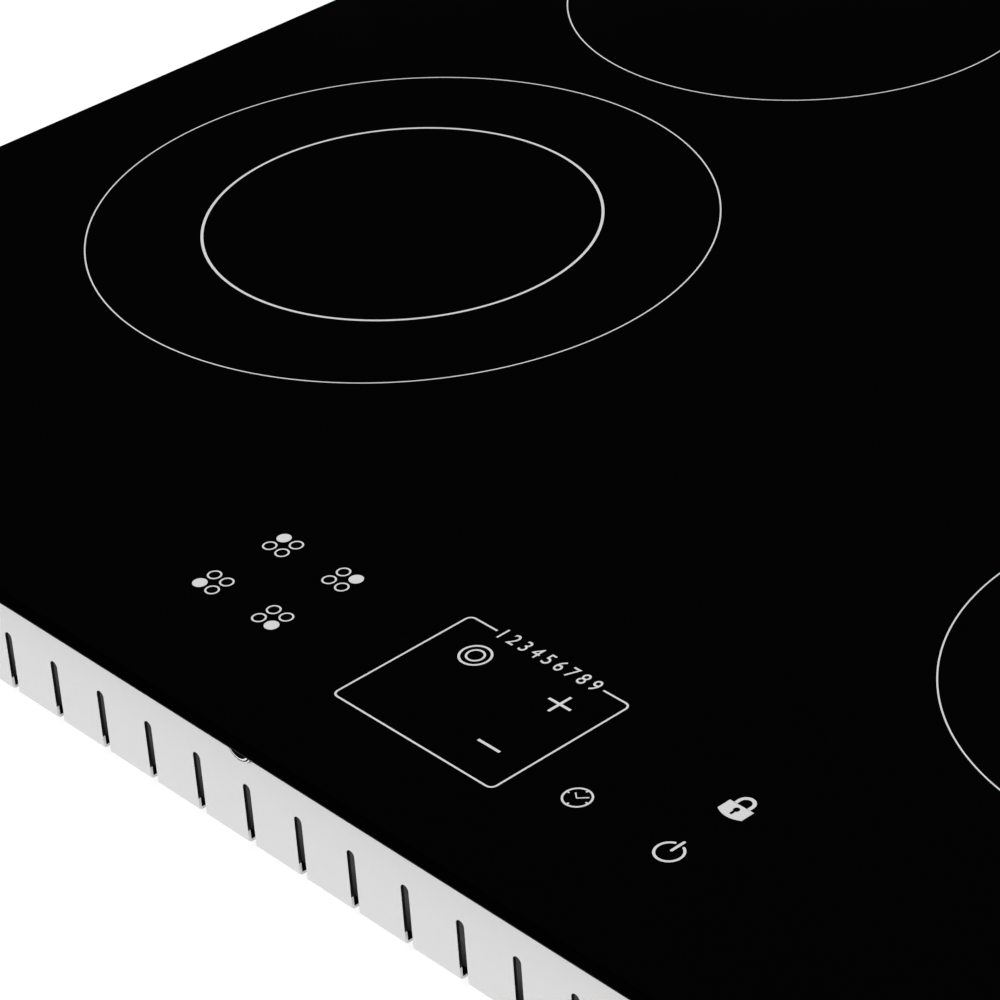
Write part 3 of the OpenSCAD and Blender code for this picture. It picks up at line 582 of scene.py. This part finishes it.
def makeKeyPrint(s, lock):
    front = glassLow[1]
    frontRow, backRow = front + s["line"] - s["rowGap"] / 2, front + s["line"] + s["rowGap"] / 2
    column = [s["mainColumn"] + k * s["mainPitch"] for k in range(4)]
    shells = []
    for i, x in enumerate(s["zoneColumns"]):
        for j, y in enumerate((frontRow, backRow)):
            shells += zoneSign((x, y), (i, j), s)
    shells.append(keyFrame(s))
    shells += [printRing((column[0], backRow), *ring) for ring in s["dualRings"]]
    arm, stroke = s["signArm"], s["signLine"]
    x, plusY, minusY = column[1], backRow - s["plusDrop"], frontRow - s["minusDrop"]
    shells += [printLine([(x - arm, y), (x + arm, y)], stroke) for y in (plusY, minusY)]
    shells += [printLine([(x, plusY + k * stroke / 2), (x, plusY + k * arm)], stroke) for k in (-1, 1)]
    clock = np.array([column[2], frontRow])
    tickFrom, tickTo, tickLine = s["clockTicks"]
    ways = np.array([(1, 0), (0, 1), (-1, 0), (0, -1)])
    shells.append(printRing(clock, *s["clockRing"], 64))
    shells += [printLine([clock + tickFrom * way, clock + tickTo * way], tickLine) for way in ways]
    shells.append(printLine(clock + np.array(s["clockHands"]), s["clockHandLine"]))
    power = np.array([column[3], frontRow])
    radius, line, opening = s["powerArc"]
    shells.append(printArc(power, radius, line, 90 + opening, 450 - opening, 60))
    barFrom, barTo, line = s["powerBar"]
    shells.append(printLine([power + (0, barFrom), power + (0, barTo)], line, rounded=True))
    shells += makePadlock((column[3], backRow), lock)
    makePiece("key_symbols", shells, ink, "hob")

makeKeyPrint(keyPrint, padlock)

levelNumbers = {
    "text": "123456789",
    "spacing": 1.5,
    "height": 4.5,
    "left": 25.2,
    "right": 60.4,
    "baseline": 73.0,        # from the glass's front edge
    "thickness": 0.045,
}

def makeNumbers(s):  # a text made a mesh, fitted between left and right, then given its thickness downwards
    words = bpy.data.curves.new("levelNumbers", "FONT")
    words.body = s["text"]
    words.size, words.space_character, words.extrude = 1, s["spacing"], 0.0
    helper = bpy.data.objects.new("numberHelper", words)
    bpy.context.scene.collection.objects.link(helper)
    bpy.context.view_layer.update()
    flat = bpy.data.meshes.new_from_object(helper.evaluated_get(bpy.context.evaluated_depsgraph_get()))
    bpy.data.objects.remove(helper)
    points = np.zeros(len(flat.vertices) * 3)
    flat.vertices.foreach_get("co", points)
    points = points.reshape(-1, 3)
    low, high = points.min(0), points.max(0)
    x = s["left"] + (points[:, 0] - low[0]) / (high[0] - low[0]) * (s["right"] - s["left"])
    y = glassLow[1] + s["baseline"] + (points[:, 1] - low[1]) / (high[1] - low[1]) * s["height"]
    flat.vertices.foreach_set("co", (np.column_stack([x, y, np.full(len(x), glassHigh[2])]) * millimetre).ravel())
    flat.update()
    piece = bpy.data.objects.new("level_numbers", flat)
    bpy.context.scene.collection.objects.link(piece)
    thickness = piece.modifiers.new("thickness", "SOLIDIFY")
    thickness.thickness, thickness.offset = s["thickness"] * millimetre, -1
    flat.materials.clear()
    flat.materials.append(ink.material)
    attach(piece, "hob")

makeNumbers(levelNumbers)
print("glass and print made")


trayLow, trayHigh = nodeBox("base_tray")
trayGauge = 0.8

traySettings = {
    "paint": (0.70, 0.70, 0.70),
    "mottle": 0.015,
    "cut": (0.006, 0.006, 0.006),    # painted shade: the slots' cut faces are near black, standing in for the shade inside the slots
    "cutLight": (0.95, 0.95, 0.95),  # painted light: the same edges near the bend, lighter than the wall's paint so that they look lit at the slots' foot
    "cutFrom": 3.7,                  # height of the change between them
    "cutBack": 6.2,                  # depth of the light ones
    "cutFacing": 0.6,                # edges look sideways by more than this
    "wallMargin": 0.25,
    "cornerMargin": 8.0,             # the side walls' own cut edges keep the plain paint, without the painted shade and light
    # painted shade of the tray's inside, seen through the slots
    "insideShade": (0.03, 0.03, 0.032),
}

def paintTray(s):
    paint = Finish("lightSheet", s["paint"], 0.5, Specular_IOR_Level=0.3)
    x, y, z = [paint.along(axis) for axis in "XYZ"]
    wall = trayGauge + s["wallMargin"]
    acrossWall = (y < trayLow[1] + wall) | (y > trayHigh[1] - wall)
    edge = (abs(paint.facing("X")) > s["cutFacing"]) & (abs(x) < trayHigh[0] - s["cornerMargin"])
    # painted shade: the slots' cut faces above cutFrom take the near-black cut colour
    shadedCut = edge & acrossWall & (z > s["cutFrom"])
    # painted light: cut faces near the bend and below cutFrom take a near-white colour
    nearBend = (y < trayLow[1] + s["cutBack"]) | (y > trayHigh[1] - s["cutBack"])
    litCut = edge & nearBend & (z < s["cutFrom"])
    # painted shade: inner faces, which look back to the middle (nx x / a + ny y / b is near -1, with a and b half the
    # width and depth), and the floor's upper face inside are near black
    middle, half = (trayLow + trayHigh) / 2, (trayHigh - trayLow) / 2
    inward = paint.facing("X") * x / half[0] + paint.facing("Y") * (y - middle[1]) / half[1]
    inside = (inward < -0.95) | ((paint.facing("Z") > 0.5) & (z < 2 * trayGauge))
    shades = [tuple(c * (1 + k * s["mottle"]) for c in s["paint"]) for k in (-1, 1)]
    colour = paint.blend(inside, paint.blend(paint.grain(4, 3), *shades), s["insideShade"])
    colour = paint.blend(litCut, colour, s["cutLight"])
    paint.feed("Base Color", paint.blend(shadedCut, colour, s["cut"]))
    paint.feed("Roughness", paint.grain(0.6, 2).between(0.3, 0.7, (0.44, 0.56)))
    paint.bump(paint.grain(0.5, 2), 0.02, 0.25)
    dress(paint, "base_tray")

paintTray(traySettings)
print("tray painted")

screenSettings = {
    "behindWall": 0.05,         # from the wall's inner face to the netting
    "thickness": 0.25,
    "clearance": 0.1,           # over the tray's floor
    "foot": (3.3, 3.4),         # the hem turns in by this much, and as high up
    "top": 22.5,
    "endGap": 12.0,
    "bushGap": 4.0,             # beside the cable inlet
    "shadeFade": (3.5, 13.0),        # painted shade: black below, dark grey above
    "dark": (0.0006, 0.0006, 0.0006),
    "light": (0.062, 0.062, 0.063),
    "weave": 0.9,               # threads' pitch
}

def makeShadeScreens(s):  # dark netting close behind both slotted walls stands in for the shade inside the hob; its colour is painted shade
    net = Finish("shadeNetting", s["dark"], 0.8, Specular_IOR_Level=0.1)
    height = net.along("Z").between(*s["shadeFade"])
    threads = [net.number("SINE", net.along(axis) * (tau / s["weave"])) for axis in ("X", "Z")]
    woven = (threads[0] * threads[1]) * 0.5 + 0.5
    # painted shade: black low down, dark grey higher up, over a woven pattern
    net.feed("Base Color", net.blend(height * (0.55 + 0.3 * woven + 0.3 * net.grain(1.5, 3)), s["dark"], s["light"]))
    net.bump(woven, 0.08, 0.6)
    bottom, inner = trayLow[2] + trayGauge + s["clearance"], trayGauge + s["behindWall"]
    turnIn, turnUp, thick = *s["foot"], s["thickness"]
    outline = np.array([
        (inner, s["top"]), (inner, bottom + turnUp), (inner + turnIn, bottom),
        (inner + turnIn + 1.4 * thick, bottom), (inner + thick, bottom + turnUp + 0.4 * thick), (inner + thick, s["top"]),
    ])
    def strip(x0, x1, wallY, inward):  # the outline carried along the wall
        return gridShell(np.array([[(x, wallY + inward * depth, z) for depth, z in outline] for x in (x0, x1)]))
    x, gap = trayHigh[0] - s["endGap"], s["bushGap"]
    bushLow, bushHigh = nodeBox("cable_inlet")
    shells = [strip(-x, x, trayLow[1], 1)]
    shells += [strip(x0, x1, trayHigh[1], -1) for x0, x1 in ((-x, bushLow[0] - gap), (bushHigh[0] + gap, x))]
    makePiece("slot_screens", shells, net, "hob")

makeShadeScreens(screenSettings)

frameScrewSettings = {
    "backX": (-170.0, 0.0, 170.0),  # places along the back and side walls
    "sideY": (-107.9, 102.1),
    "rise": 0.5,                   # above the middle of the screws it stands for
    "profile": [  # radius, distance from the wall, and the painted ring highlight there: 1 for bright bare metal, 0 for black
        (5.2, -0.2, 0), (5.2, 0.85, 0), (5.1, 1.0, 0), (5.04, 1.05, 1), (4.78, 1.08, 1),
        (4.72, 1.12, 0), (4.36, 1.2, 0), (4.3, 1.23, 1), (3.88, 1.28, 1), (3.82, 1.35, 0),
        (3.0, 1.55, 0), (1.25, 1.7, 0), (0.35, 0.8, 0), (0.02, 0.7, 0),
    ],
    "sides": 40,
    "wing": (2.0, 0.62),           # half length and half width of the cross in the head
    "wingHeights": (0.9, 1.71),
    "dark": (0.004, 0.004, 0.0042),
    "highlight": (0.85, 0.85, 0.86),
}

def makeFrameScrews(s):
    # a turned head lies with its axis square to the wall, in front, at the back and at both sides
    profile = np.array(s["profile"])
    head = lathe(profile[:, :2], (0, 0), s["sides"], closed=False)
    low, high = s["wingHeights"]
    wings = [block((-a, -b, low), (a, b, high), 0.02) for a, b in (s["wing"], s["wing"][::-1])]
    shades = np.concatenate([np.repeat(profile[:, 2], s["sides"])] + [np.zeros(len(wing[0])) for wing in wings])
    spots = [((0, trayLow[1]), 0.0)] + [((x, trayHigh[1]), 180.0) for x in s["backX"]]
    spots += [((side * trayHigh[0], y), side * 90.0) for side in (-1, 1) for y in s["sideY"]]
    height = middleOf("frame_screws")[2] + s["rise"]
    toFront = np.array([[1, 0, 0], [0, 0, -1], [0, 1, 0]])
    shells = []
    for (x, y), turn in spots:
        c, n = math.cos(math.radians(turn)), math.sin(math.radians(turn))
        spin = np.array([[c, -n, 0], [n, c, 0], [0, 0, 1]]) @ toFront
        shells += [shift(turned(shell, spin), (x, y, height)) for shell in (head, *wings)]
    # partly painted highlight: thin bands of bright bare metal on a black head without gloss give the rings'
    # highlights; the bands also mirror the studio
    metal = Finish("screwRingHighlights", s["dark"], 0.25, Specular_IOR_Level=0.0)
    ringLight = metal.node("ShaderNodeAttribute", {"attribute_name": "ringHighlight"}, output="Fac")
    metal.feed("Base Color", metal.blend(ringLight, s["dark"], s["highlight"]))
    metal.feed("Metallic", ringLight)
    metal.feed("Roughness", metal.grain(0.4, 2).between(0.3, 0.7, (0.2, 0.32)))
    piece = makePiece("turned_screws", shells, metal, "hob", ["frame_screws"])
    setAttribute(piece, "ringHighlight", np.tile(shades, len(spots)))

makeFrameScrews(frameScrewSettings)
print("netting and frame screws made")

# Finishes for the CAD nodes that keep their shape

def plainFinish(name, colour, roughness, grainSize, spread, depth=0.0, **fixed):
    # an even material whose colour and gloss wander a little
    finish = Finish(name, colour, roughness, **fixed)
    shades = [tuple(c * (1 + k * spread) for c in colour) for k in (-1, 1)]
    gloss = roughness * 0.85, min(1, roughness * 1.15)
    finish.feed("Base Color", finish.blend(finish.grain(grainSize, 3), *shades))
    finish.feed("Roughness", finish.grain(grainSize * 0.4, 2).between(0.3, 0.7, gloss))
    if depth:
        finish.bump(finish.grain(grainSize * 0.25, 2), depth, 0.5)
    return finish


def brushedFinish(name, colour, roughness, stretch):
    # metal with fine lines; stretch says along which way they don't change
    finish = Finish(name, colour, roughness, Metallic=1.0)
    lines = finish.grain(0.5, 2, stretch)
    finish.feed("Base Color", finish.blend(lines, *[tuple(c * k for c in colour) for k in (0.88, 1.08)]))
    finish.feed("Roughness", lines.between(0.3, 0.7, (roughness * 0.8, roughness * 1.2)))
    return finish.bump(lines, 0.01, 0.4)


def four(kind):  # the nodes of one kind at the four zones
    return [f"{end}_{side}_{kind}" for end in ("front", "back") for side in ("left", "right")]


def pair(*kinds):
    return [f"{side}_{kind}" for kind in kinds for side in ("left", "right")]


bare = {"Metallic": 1.0}
plainFinishes = {  # nodes, colour, roughness, grain in millimetres, spread, bump depth, fixed values
    "zincSheet": (["support_frame", "clamp_brackets"], (0.55, 0.56, 0.57), 0.36, 4, 0.12, 0.01, bare),
    "clampSteel": (four("clamp"), (0.6, 0.6, 0.61), 0.3, 3, 0.1, 0.01, bare),
    "clampBolt": (["clamp_screws"], (0.72, 0.68, 0.56), 0.27, 1.5, 0.08, 0.01, bare),
    "clearSilicone": (["glass_adhesive"], (0.03, 0.03, 0.03), 0.4, 2, 0.2, 0.02, {}),
    "foamTape": (["worktop_seal"], (0.008, 0.008, 0.0082), 0.85, 0.8, 0.4, 0.15, {"Specular_IOR_Level": 0.1}),
    # painted shade: the baffle behind the front slots is dark grey so that the slots look dark inside
    "baffleShade": (["front_baffle"], (0.05, 0.05, 0.05), 0.6, 2, 0.2, 0.0, {}),
    "bushRubber": (["cable_inlet"], (0.025, 0.025, 0.026), 0.5, 1.2, 0.15, 0.02, {}),
    "fanPlastic": (pair("fan_housing"), (0.03, 0.03, 0.032), 0.45, 1.5, 0.15, 0.02, {}),
    "impellerPlastic": (pair("fan_impeller"), (0.05, 0.05, 0.055), 0.5, 1.5, 0.15, 0.02, {}),
    "carrierPlastic": (["control_carrier", "board_pillars"], (0.04, 0.04, 0.042), 0.5, 1.5, 0.15, 0.02, {}),
    "micaSheet": (pair("mica_sheet"), (0.56, 0.52, 0.42), 0.5, 9, 0.25, 0.03, {}),
    "ferriteBar": (pair("ferrites"), (0.05, 0.05, 0.055), 0.6, 1.2, 0.3, 0.04, {}),
    "formerPlastic": (four("coil_former"), (0.07, 0.065, 0.06), 0.55, 2, 0.15, 0.02, {}),
    "sensorSilicone": (four("sensor"), (0.6, 0.58, 0.53), 0.6, 2, 0.1, 0.02, {}),
    "terminalPlastic": (["terminal_block"], (0.74, 0.73, 0.69), 0.4, 2, 0.05, 0.01, {}),
    "terminalBrass": (["terminal_screws"], (0.72, 0.58, 0.28), 0.3, 0.8, 0.1, 0.01, bare),
    "displayCover": (["display_module"], (0.02, 0.012, 0.012), 0.12, 4, 0.1, 0.0, {}),
}

for name, (nodes, *settings, fixed) in plainFinishes.items():
    dress(plainFinish(name, *settings, **fixed), *nodes)

aluminium = brushedFinish("millAluminium", (0.78, 0.79, 0.80), 0.34, (1, 0.02, 1))
dress(aluminium, *pair("coil_plate", "heatsink"))

boardSettings = {
    "tracks": {"Mortar Size": 0.35, "Mortar Smooth": 0.1, "Brick Width": 23.0, "Row Height": 3.7},  # millimetres
    "lacquer": (0.016, 0.10, 0.042),
    "overCopper": (0.035, 0.19, 0.08),
    "pads": (0.55, 0.53, 0.48),
    "padsPerMetre": 140.0,
    "padSize": 0.16,
}

def makeBoardFinish(s):  # green lacquer over copper lines, drawn as the joints of a long brick pattern
    board = Finish("greenBoard", s["lacquer"], 0.28)
    spots = board.node("ShaderNodeMapping", {}, {"Vector": board.where(), "Scale": (1 / millimetre,) * 3})
    plain = {"Color1": (0, 0, 0, 1), "Color2": (0, 0, 0, 1), "Mortar": (1, 1, 1, 1), "Scale": 1.0}
    inputs = {"Vector": spots, **plain, **s["tracks"]}
    tracks = board.node("ShaderNodeTexBrick", {"offset": 0.37, "squash": 0.6}, inputs, output="Fac")
    cells = {"Vector": board.where(), "Scale": s["padsPerMetre"]}
    pads = board.node("ShaderNodeTexVoronoi", {}, cells, output="Distance") < s["padSize"]
    board.feed("Base Color", board.blend(pads, board.blend(tracks, s["lacquer"], s["overCopper"]), s["pads"]))
    board.bump(tracks | pads, 0.04, 0.5)
    dress(board, *pair("power_board"), "filter_board", "touch_board")

makeBoardFinish(boardSettings)

transistorSettings = {"body": (0.02, 0.02, 0.02), "tab": (0.6, 0.6, 0.6), "tabThickness": 1.4}

def makeTransistorFinish(s):  # moulded body on a bare metal tab that lies on the heatsink
    package = Finish("transistorBody", s["body"], 0.35)
    tab = abs(package.along("X")) < nodeBox("right_transistors")[0][0] + s["tabThickness"]
    package.feed("Base Color", package.blend(tab, s["body"], s["tab"]))
    package.feed("Metallic", tab)
    package.feed("Roughness", package.grain(0.8, 2).between(0.3, 0.7, (0.28, 0.42)))
    dress(package, *pair("transistors"))

makeTransistorFinish(transistorSettings)
print("CAD pieces dressed")


def nodePoints(node):
    mesh = frame["nodes"][node].data
    points = np.zeros(len(mesh.vertices) * 3)
    mesh.vertices.foreach_get("co", points)
    return points.reshape(-1, 3) / millimetre


def solidBoxes(node):
    # lowest and highest corners of each separate solid: points that share triangles take the lowest label among them
    mesh = frame["nodes"][node].data
    mesh.calc_loop_triangles()
    corners = np.zeros(len(mesh.loop_triangles) * 3, int)
    mesh.loop_triangles.foreach_get("vertices", corners)
    spots, same = np.unique(np.round(nodePoints(node), 3), axis=0, return_inverse=True)
    triangles = same.ravel()[corners.reshape(-1, 3)]
    label = np.arange(len(spots))
    while True:
        lower = label.copy()
        np.minimum.at(lower, triangles.ravel(), np.repeat(label[triangles].min(1), 3))
        lower = lower[lower]
        if (lower == label).all():
            break
        label = lower
    return [(spots[label == k].min(0), spots[label == k].max(0)) for k in np.unique(label)]


def radiusRange(node):  # smallest and largest distance of a round node's points from its middle
    away = np.linalg.norm(nodePoints(node)[:, :2] - middleOf(node)[:2], axis=1)
    return away.min(), away.max()


def frameBody(node):  # the body that a CAD node rides on
    return next(body for body, nodes in frame["record"]["behaviour"]["bodies"].items() if node in nodes)


windingSettings = {
    "bundle": 3.3,       # width of one litz bundle
    "pitch": 3.45,
    "pointsPerTurn": 60,
    "sides": 10,
    "strands": 9,
    "lay": 16.0,         # length in which a strand goes once round
    "colour": (0.42, 0.17, 0.06),
    "dark": (0.20, 0.07, 0.025),
}

def makeWindings(s):
    # r grows evenly with the angle: r = inner + pitch * angle / (2 pi)
    litz = Finish("litzWire", s["colour"], 0.35, Metallic=0.85)
    along = litz.node("ShaderNodeAttribute", {"attribute_name": "along"}, output="Fac")
    around = litz.node("ShaderNodeAttribute", {"attribute_name": "around"}, output="Fac")
    strands = litz.number("SINE", (around * s["strands"] + along / s["lay"] * s["strands"]) * tau) * 0.5 + 0.5
    litz.feed("Base Color", litz.blend(strands, s["dark"], s["colour"]))
    litz.bump(strands, 0.18, 0.8)
    for node in [name for name in frame["nodes"] if name.endswith("winding")]:
        low, high = nodeBox(node)
        inner, outer = radiusRange(node)
        turns = (outer - inner - s["bundle"]) / s["pitch"]
        angle = np.linspace(0, turns * tau, int(turns * s["pointsPerTurn"]))
        r = inner + s["bundle"] / 2 + s["pitch"] * angle / tau
        x, y, z = middleOf(node)
        path = np.column_stack([x + r * np.cos(angle), y + r * np.sin(angle), np.full(len(angle), z)])
        section = ringPoints(1, s["sides"]) * (s["bundle"] / 2, (high[2] - low[2]) / 2)
        piece = makePiece(node + "_litz", [sweep(path, section)], litz, frameBody(node), [node])
        length = np.concatenate([[0], np.cumsum(np.linalg.norm(np.diff(path, axis=0), axis=1))])
        setAttribute(piece, "along", np.repeat(length, s["sides"]))
        setAttribute(piece, "around", np.tile(np.arange(s["sides"]) / s["sides"], len(path)))

makeWindings(windingSettings)
print("coils wound")

springSettings = {
    "deckWire": 0.65, "deckTurns": 8.0,
    "keyWire": 0.3, "keyTurns": 5.0,
    "keyWaist": 0.62,   # a key spring's middle is narrower than its ends
    "flatEnd": 0.09,    # share of the wire that lies flat at each end
    "pointsPerTurn": 24,
}

def coilSpring(low, high, wireRadius, turns, s, waist=1.0):
    # x = r cos a, y = r sin a, the rise flattening at both ends so that they sit square
    t = np.linspace(0, 1, int(turns * s["pointsPerTurn"]))
    rise = np.clip((t - s["flatEnd"]) / (1 - 2 * s["flatEnd"]), 0, 1)
    low, high = np.asarray(low) + wireRadius, np.asarray(high) - wireRadius
    x, y, z = (low + high) / 2
    r = (high[0] - low[0]) / 2 * (1 - (1 - waist) * np.sin(math.pi * t))
    angle = t * turns * tau
    path = np.column_stack([x + r * np.cos(angle), y + r * np.sin(angle), low[2] + (high[2] - low[2]) * rise])
    return wire(path, wireRadius, 8)


def makeSprings(s):
    steel = plainFinish("springWire", (0.6, 0.6, 0.62), 0.28, 0.8, 0.1, Metallic=1.0)
    gold = plainFinish("keyWire", (0.66, 0.5, 0.22), 0.25, 0.6, 0.1, Metallic=1.0)
    joints = frame["record"]["behaviour"]["joints"]
    travel = {joint["name"]: joint["range_m"][1] / millimetre for joint in joints if "range_m" in joint}
    pressed = {"left_deck_springs": "left_deck_press", "right_deck_springs": "right_deck_press",
               "control_springs": "touch_control_press"}
    for node, joint in pressed.items():
        low, high = nodeBox(node)
        coils = [coilSpring(*box, s["deckWire"], s["deckTurns"], s) for box in solidBoxes(node)]
        piece = makePiece(node.replace("springs", "coil_springs"), coils, steel, "hob", [node])
        height = high[2] - low[2]
        (height - travel[joint]) / height
        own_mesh(piece)
    keys = [coilSpring(*box, s["keyWire"], s["keyTurns"], s, s["keyWaist"]) for box in solidBoxes("key_springs")]
    makePiece("key_contact_springs", keys, gold, "touch_control", ["key_springs"])

makeSprings(springSettings)
print("springs made")

boardPartSettings = {
    "sleeveRound": 0.5,      # how far a can's ends and crimp draw in
    "ventDepth": 0.35,
    "canRim": 0.6,
    "chokeWire": 0.9,
    "chokeTurns": 22,
    "chokeHole": 0.30,       # share of the outside
    "chokeSquareness": 0.55,  # 1 winds the wire in a circle, less in a rounded rectangle
    "socketWall": 1.0,
    "socketPins": 4,
    "pinHalf": 0.5,
    "socketHeight": 10,      # lower solids are sockets
    "relayWidth": 20,        # wider ones are film capacitors
}

def canCapacitor(low, high, s):  # crimped foot, straight sleeve and a rolled rim around a sunk lid
    middle, r = (low + high) / 2, (high[0] - low[0]) / 2
    foot, top, rim, inset = low[2], high[2], s["canRim"], s["sleeveRound"]
    profile = [
        (r - inset, foot), (r, foot + 0.4), (r, foot + 1.6), (r - inset, foot + 2.0), (r - inset, foot + 2.6),
        (r, foot + 3.0), (r, top - 0.5), (r - inset, top), (r - inset - rim, top), (r - inset - rim - 0.2, top - 0.4),
        (0.01, top - 0.4),
    ]
    lid = top - 0.6, top - 0.4 + s["ventDepth"] * 0.3
    vents = [block((middle[0] - a, middle[1] - b, lid[0]), (middle[0] + a, middle[1] + b, lid[1]), 0.05)
             for a, b in ((r * 0.6, 0.35), (0.35, r * 0.6))]
    return [lathe(profile, middle, 36, closed=False), *vents]


def ringChoke(low, high, s):
    # a ring core and one closed wire that winds round it: a torus knot with many turns
    middle, outer, w = (low + high) / 2, (high[0] - low[0]) / 2, s["chokeWire"]
    r0, r1, z0, z1 = outer * s["chokeHole"] + 2 * w, outer - 2 * w, low[2] + 2 * w, high[2] - 2 * w
    e = 0.5  # the core's bevel
    section = [(r0, z0 + e), (r0 + e, z0), (r1 - e, z0), (r1, z0 + e),
               (r1, z1 - e), (r1 - e, z1), (r0 + e, z1), (r0, z1 - e)]
    core = lathe(section, middle, 48)
    t = np.linspace(0, tau, s["chokeTurns"] * 24, endpoint=False)
    turn = t * s["chokeTurns"]
    square = lambda v: np.sign(v) * np.abs(v) ** s["chokeSquareness"]
    radius = (r0 + r1) / 2 + ((r1 - r0) / 2 + w) * square(np.cos(turn))
    z = (z0 + z1) / 2 + ((z1 - z0) / 2 + w) * square(np.sin(turn))
    path = np.column_stack([middle[0] + radius * np.cos(t), middle[1] + radius * np.sin(t), z])
    inward = np.column_stack([-np.sin(t), np.cos(t), np.zeros_like(t)])
    half = outer * 0.8
    foot = block((middle[0] - half, middle[1] - half, low[2]), (middle[0] + half, middle[1] + half, low[2] + w * 0.9), 0.3)
    return core, wire(path, w, 8, inward, closed=True), foot


def plugSocket(low, high, s):  # an open white box with a row of pins
    size, wall, pin = high - low, s["socketWall"], s["pinHalf"]
    long = 0 if size[0] > size[1] else 1
    shells = [block(low, (high[0], high[1], low[2] + wall), 0.2)]
    for axis in (0, 1):
        inner, outer = high.copy(), low.copy()
        inner[axis], outer[axis] = low[axis] + wall, high[axis] - wall
        shells += [block(low, inner, 0.15), block(outer, high, 0.15)]
    pins = []
    for k in range(s["socketPins"]):
        spot = (low + high) / 2
        spot[long] = low[long] + size[long] * (k + 0.75) / (s["socketPins"] + 0.5)
        pins.append(block((spot[0] - pin, spot[1] - pin, low[2] + 0.5), (spot[0] + pin, spot[1] + pin, high[2] - 1.5), 0.1))
    return shells, pins


boardFinishes = {  # finish, colour, roughness, grain in millimetres, spread, bump depth, fixed values
    "can": ("capacitorSleeve", (0.02, 0.025, 0.05), 0.3, 2, 0.1, 0.0, {}),
    "chokeCore": ("chokeCore", (0.10, 0.13, 0.09), 0.45, 1.5, 0.15, 0.02, {}),
    "chokeWire": ("lacquerWire", (0.5, 0.19, 0.06), 0.25, 1, 0.12, 0.0, {"Metallic": 0.9}),
    "film": ("filmCase", (0.50, 0.36, 0.05), 0.35, 3, 0.06, 0.01, {}),
    "relay": ("relayCase", (0.04, 0.09, 0.16), 0.3, 3, 0.06, 0.01, {}),
    "socket": ("socketPlastic", (0.72, 0.71, 0.66), 0.4, 2, 0.05, 0.01, {}),
    "pin": ("tinnedPin", (0.65, 0.65, 0.66), 0.25, 0.5, 0.1, 0.0, {"Metallic": 1.0}),
}

def makeBoardParts(s, finishes):  # each solid's proportions say what it is
    nodes = ["left_board_parts", "right_board_parts", "filter_parts"]
    kinds = {kind: [] for kind in finishes}
    for low, high in (box for node in nodes for box in solidBoxes(node)):
        width, depth, height = np.round(high - low, 1)
        if width == depth and height > width * 0.8:
            kinds["can"] += canCapacitor(low, high, s)
        elif width == depth:
            core, coil, foot = ringChoke(low, high, s)
            kinds["chokeCore"] += [core, foot]
            kinds["chokeWire"].append(coil)
        elif height < s["socketHeight"]:
            walls, pins = plugSocket(low, high, s)
            kinds["socket"] += walls
            kinds["pin"] += pins
        elif max(width, depth) <= s["relayWidth"]:
            kinds["relay"].append(block(low, high, 0.5, 1.0, 4))
        else:
            kinds["film"].append(block(low, high, 0.6, 1.2, 4))
    for kind, (name, *settings, fixed) in finishes.items():
        stands = nodes if kind == "can" else ()  # the first piece stands for all three nodes
        makePiece(f"board_{kind}s", kinds[kind], plainFinish(name, *settings, **fixed), "hob", stands)

makeBoardParts(boardPartSettings, boardFinishes)
print("board parts made")
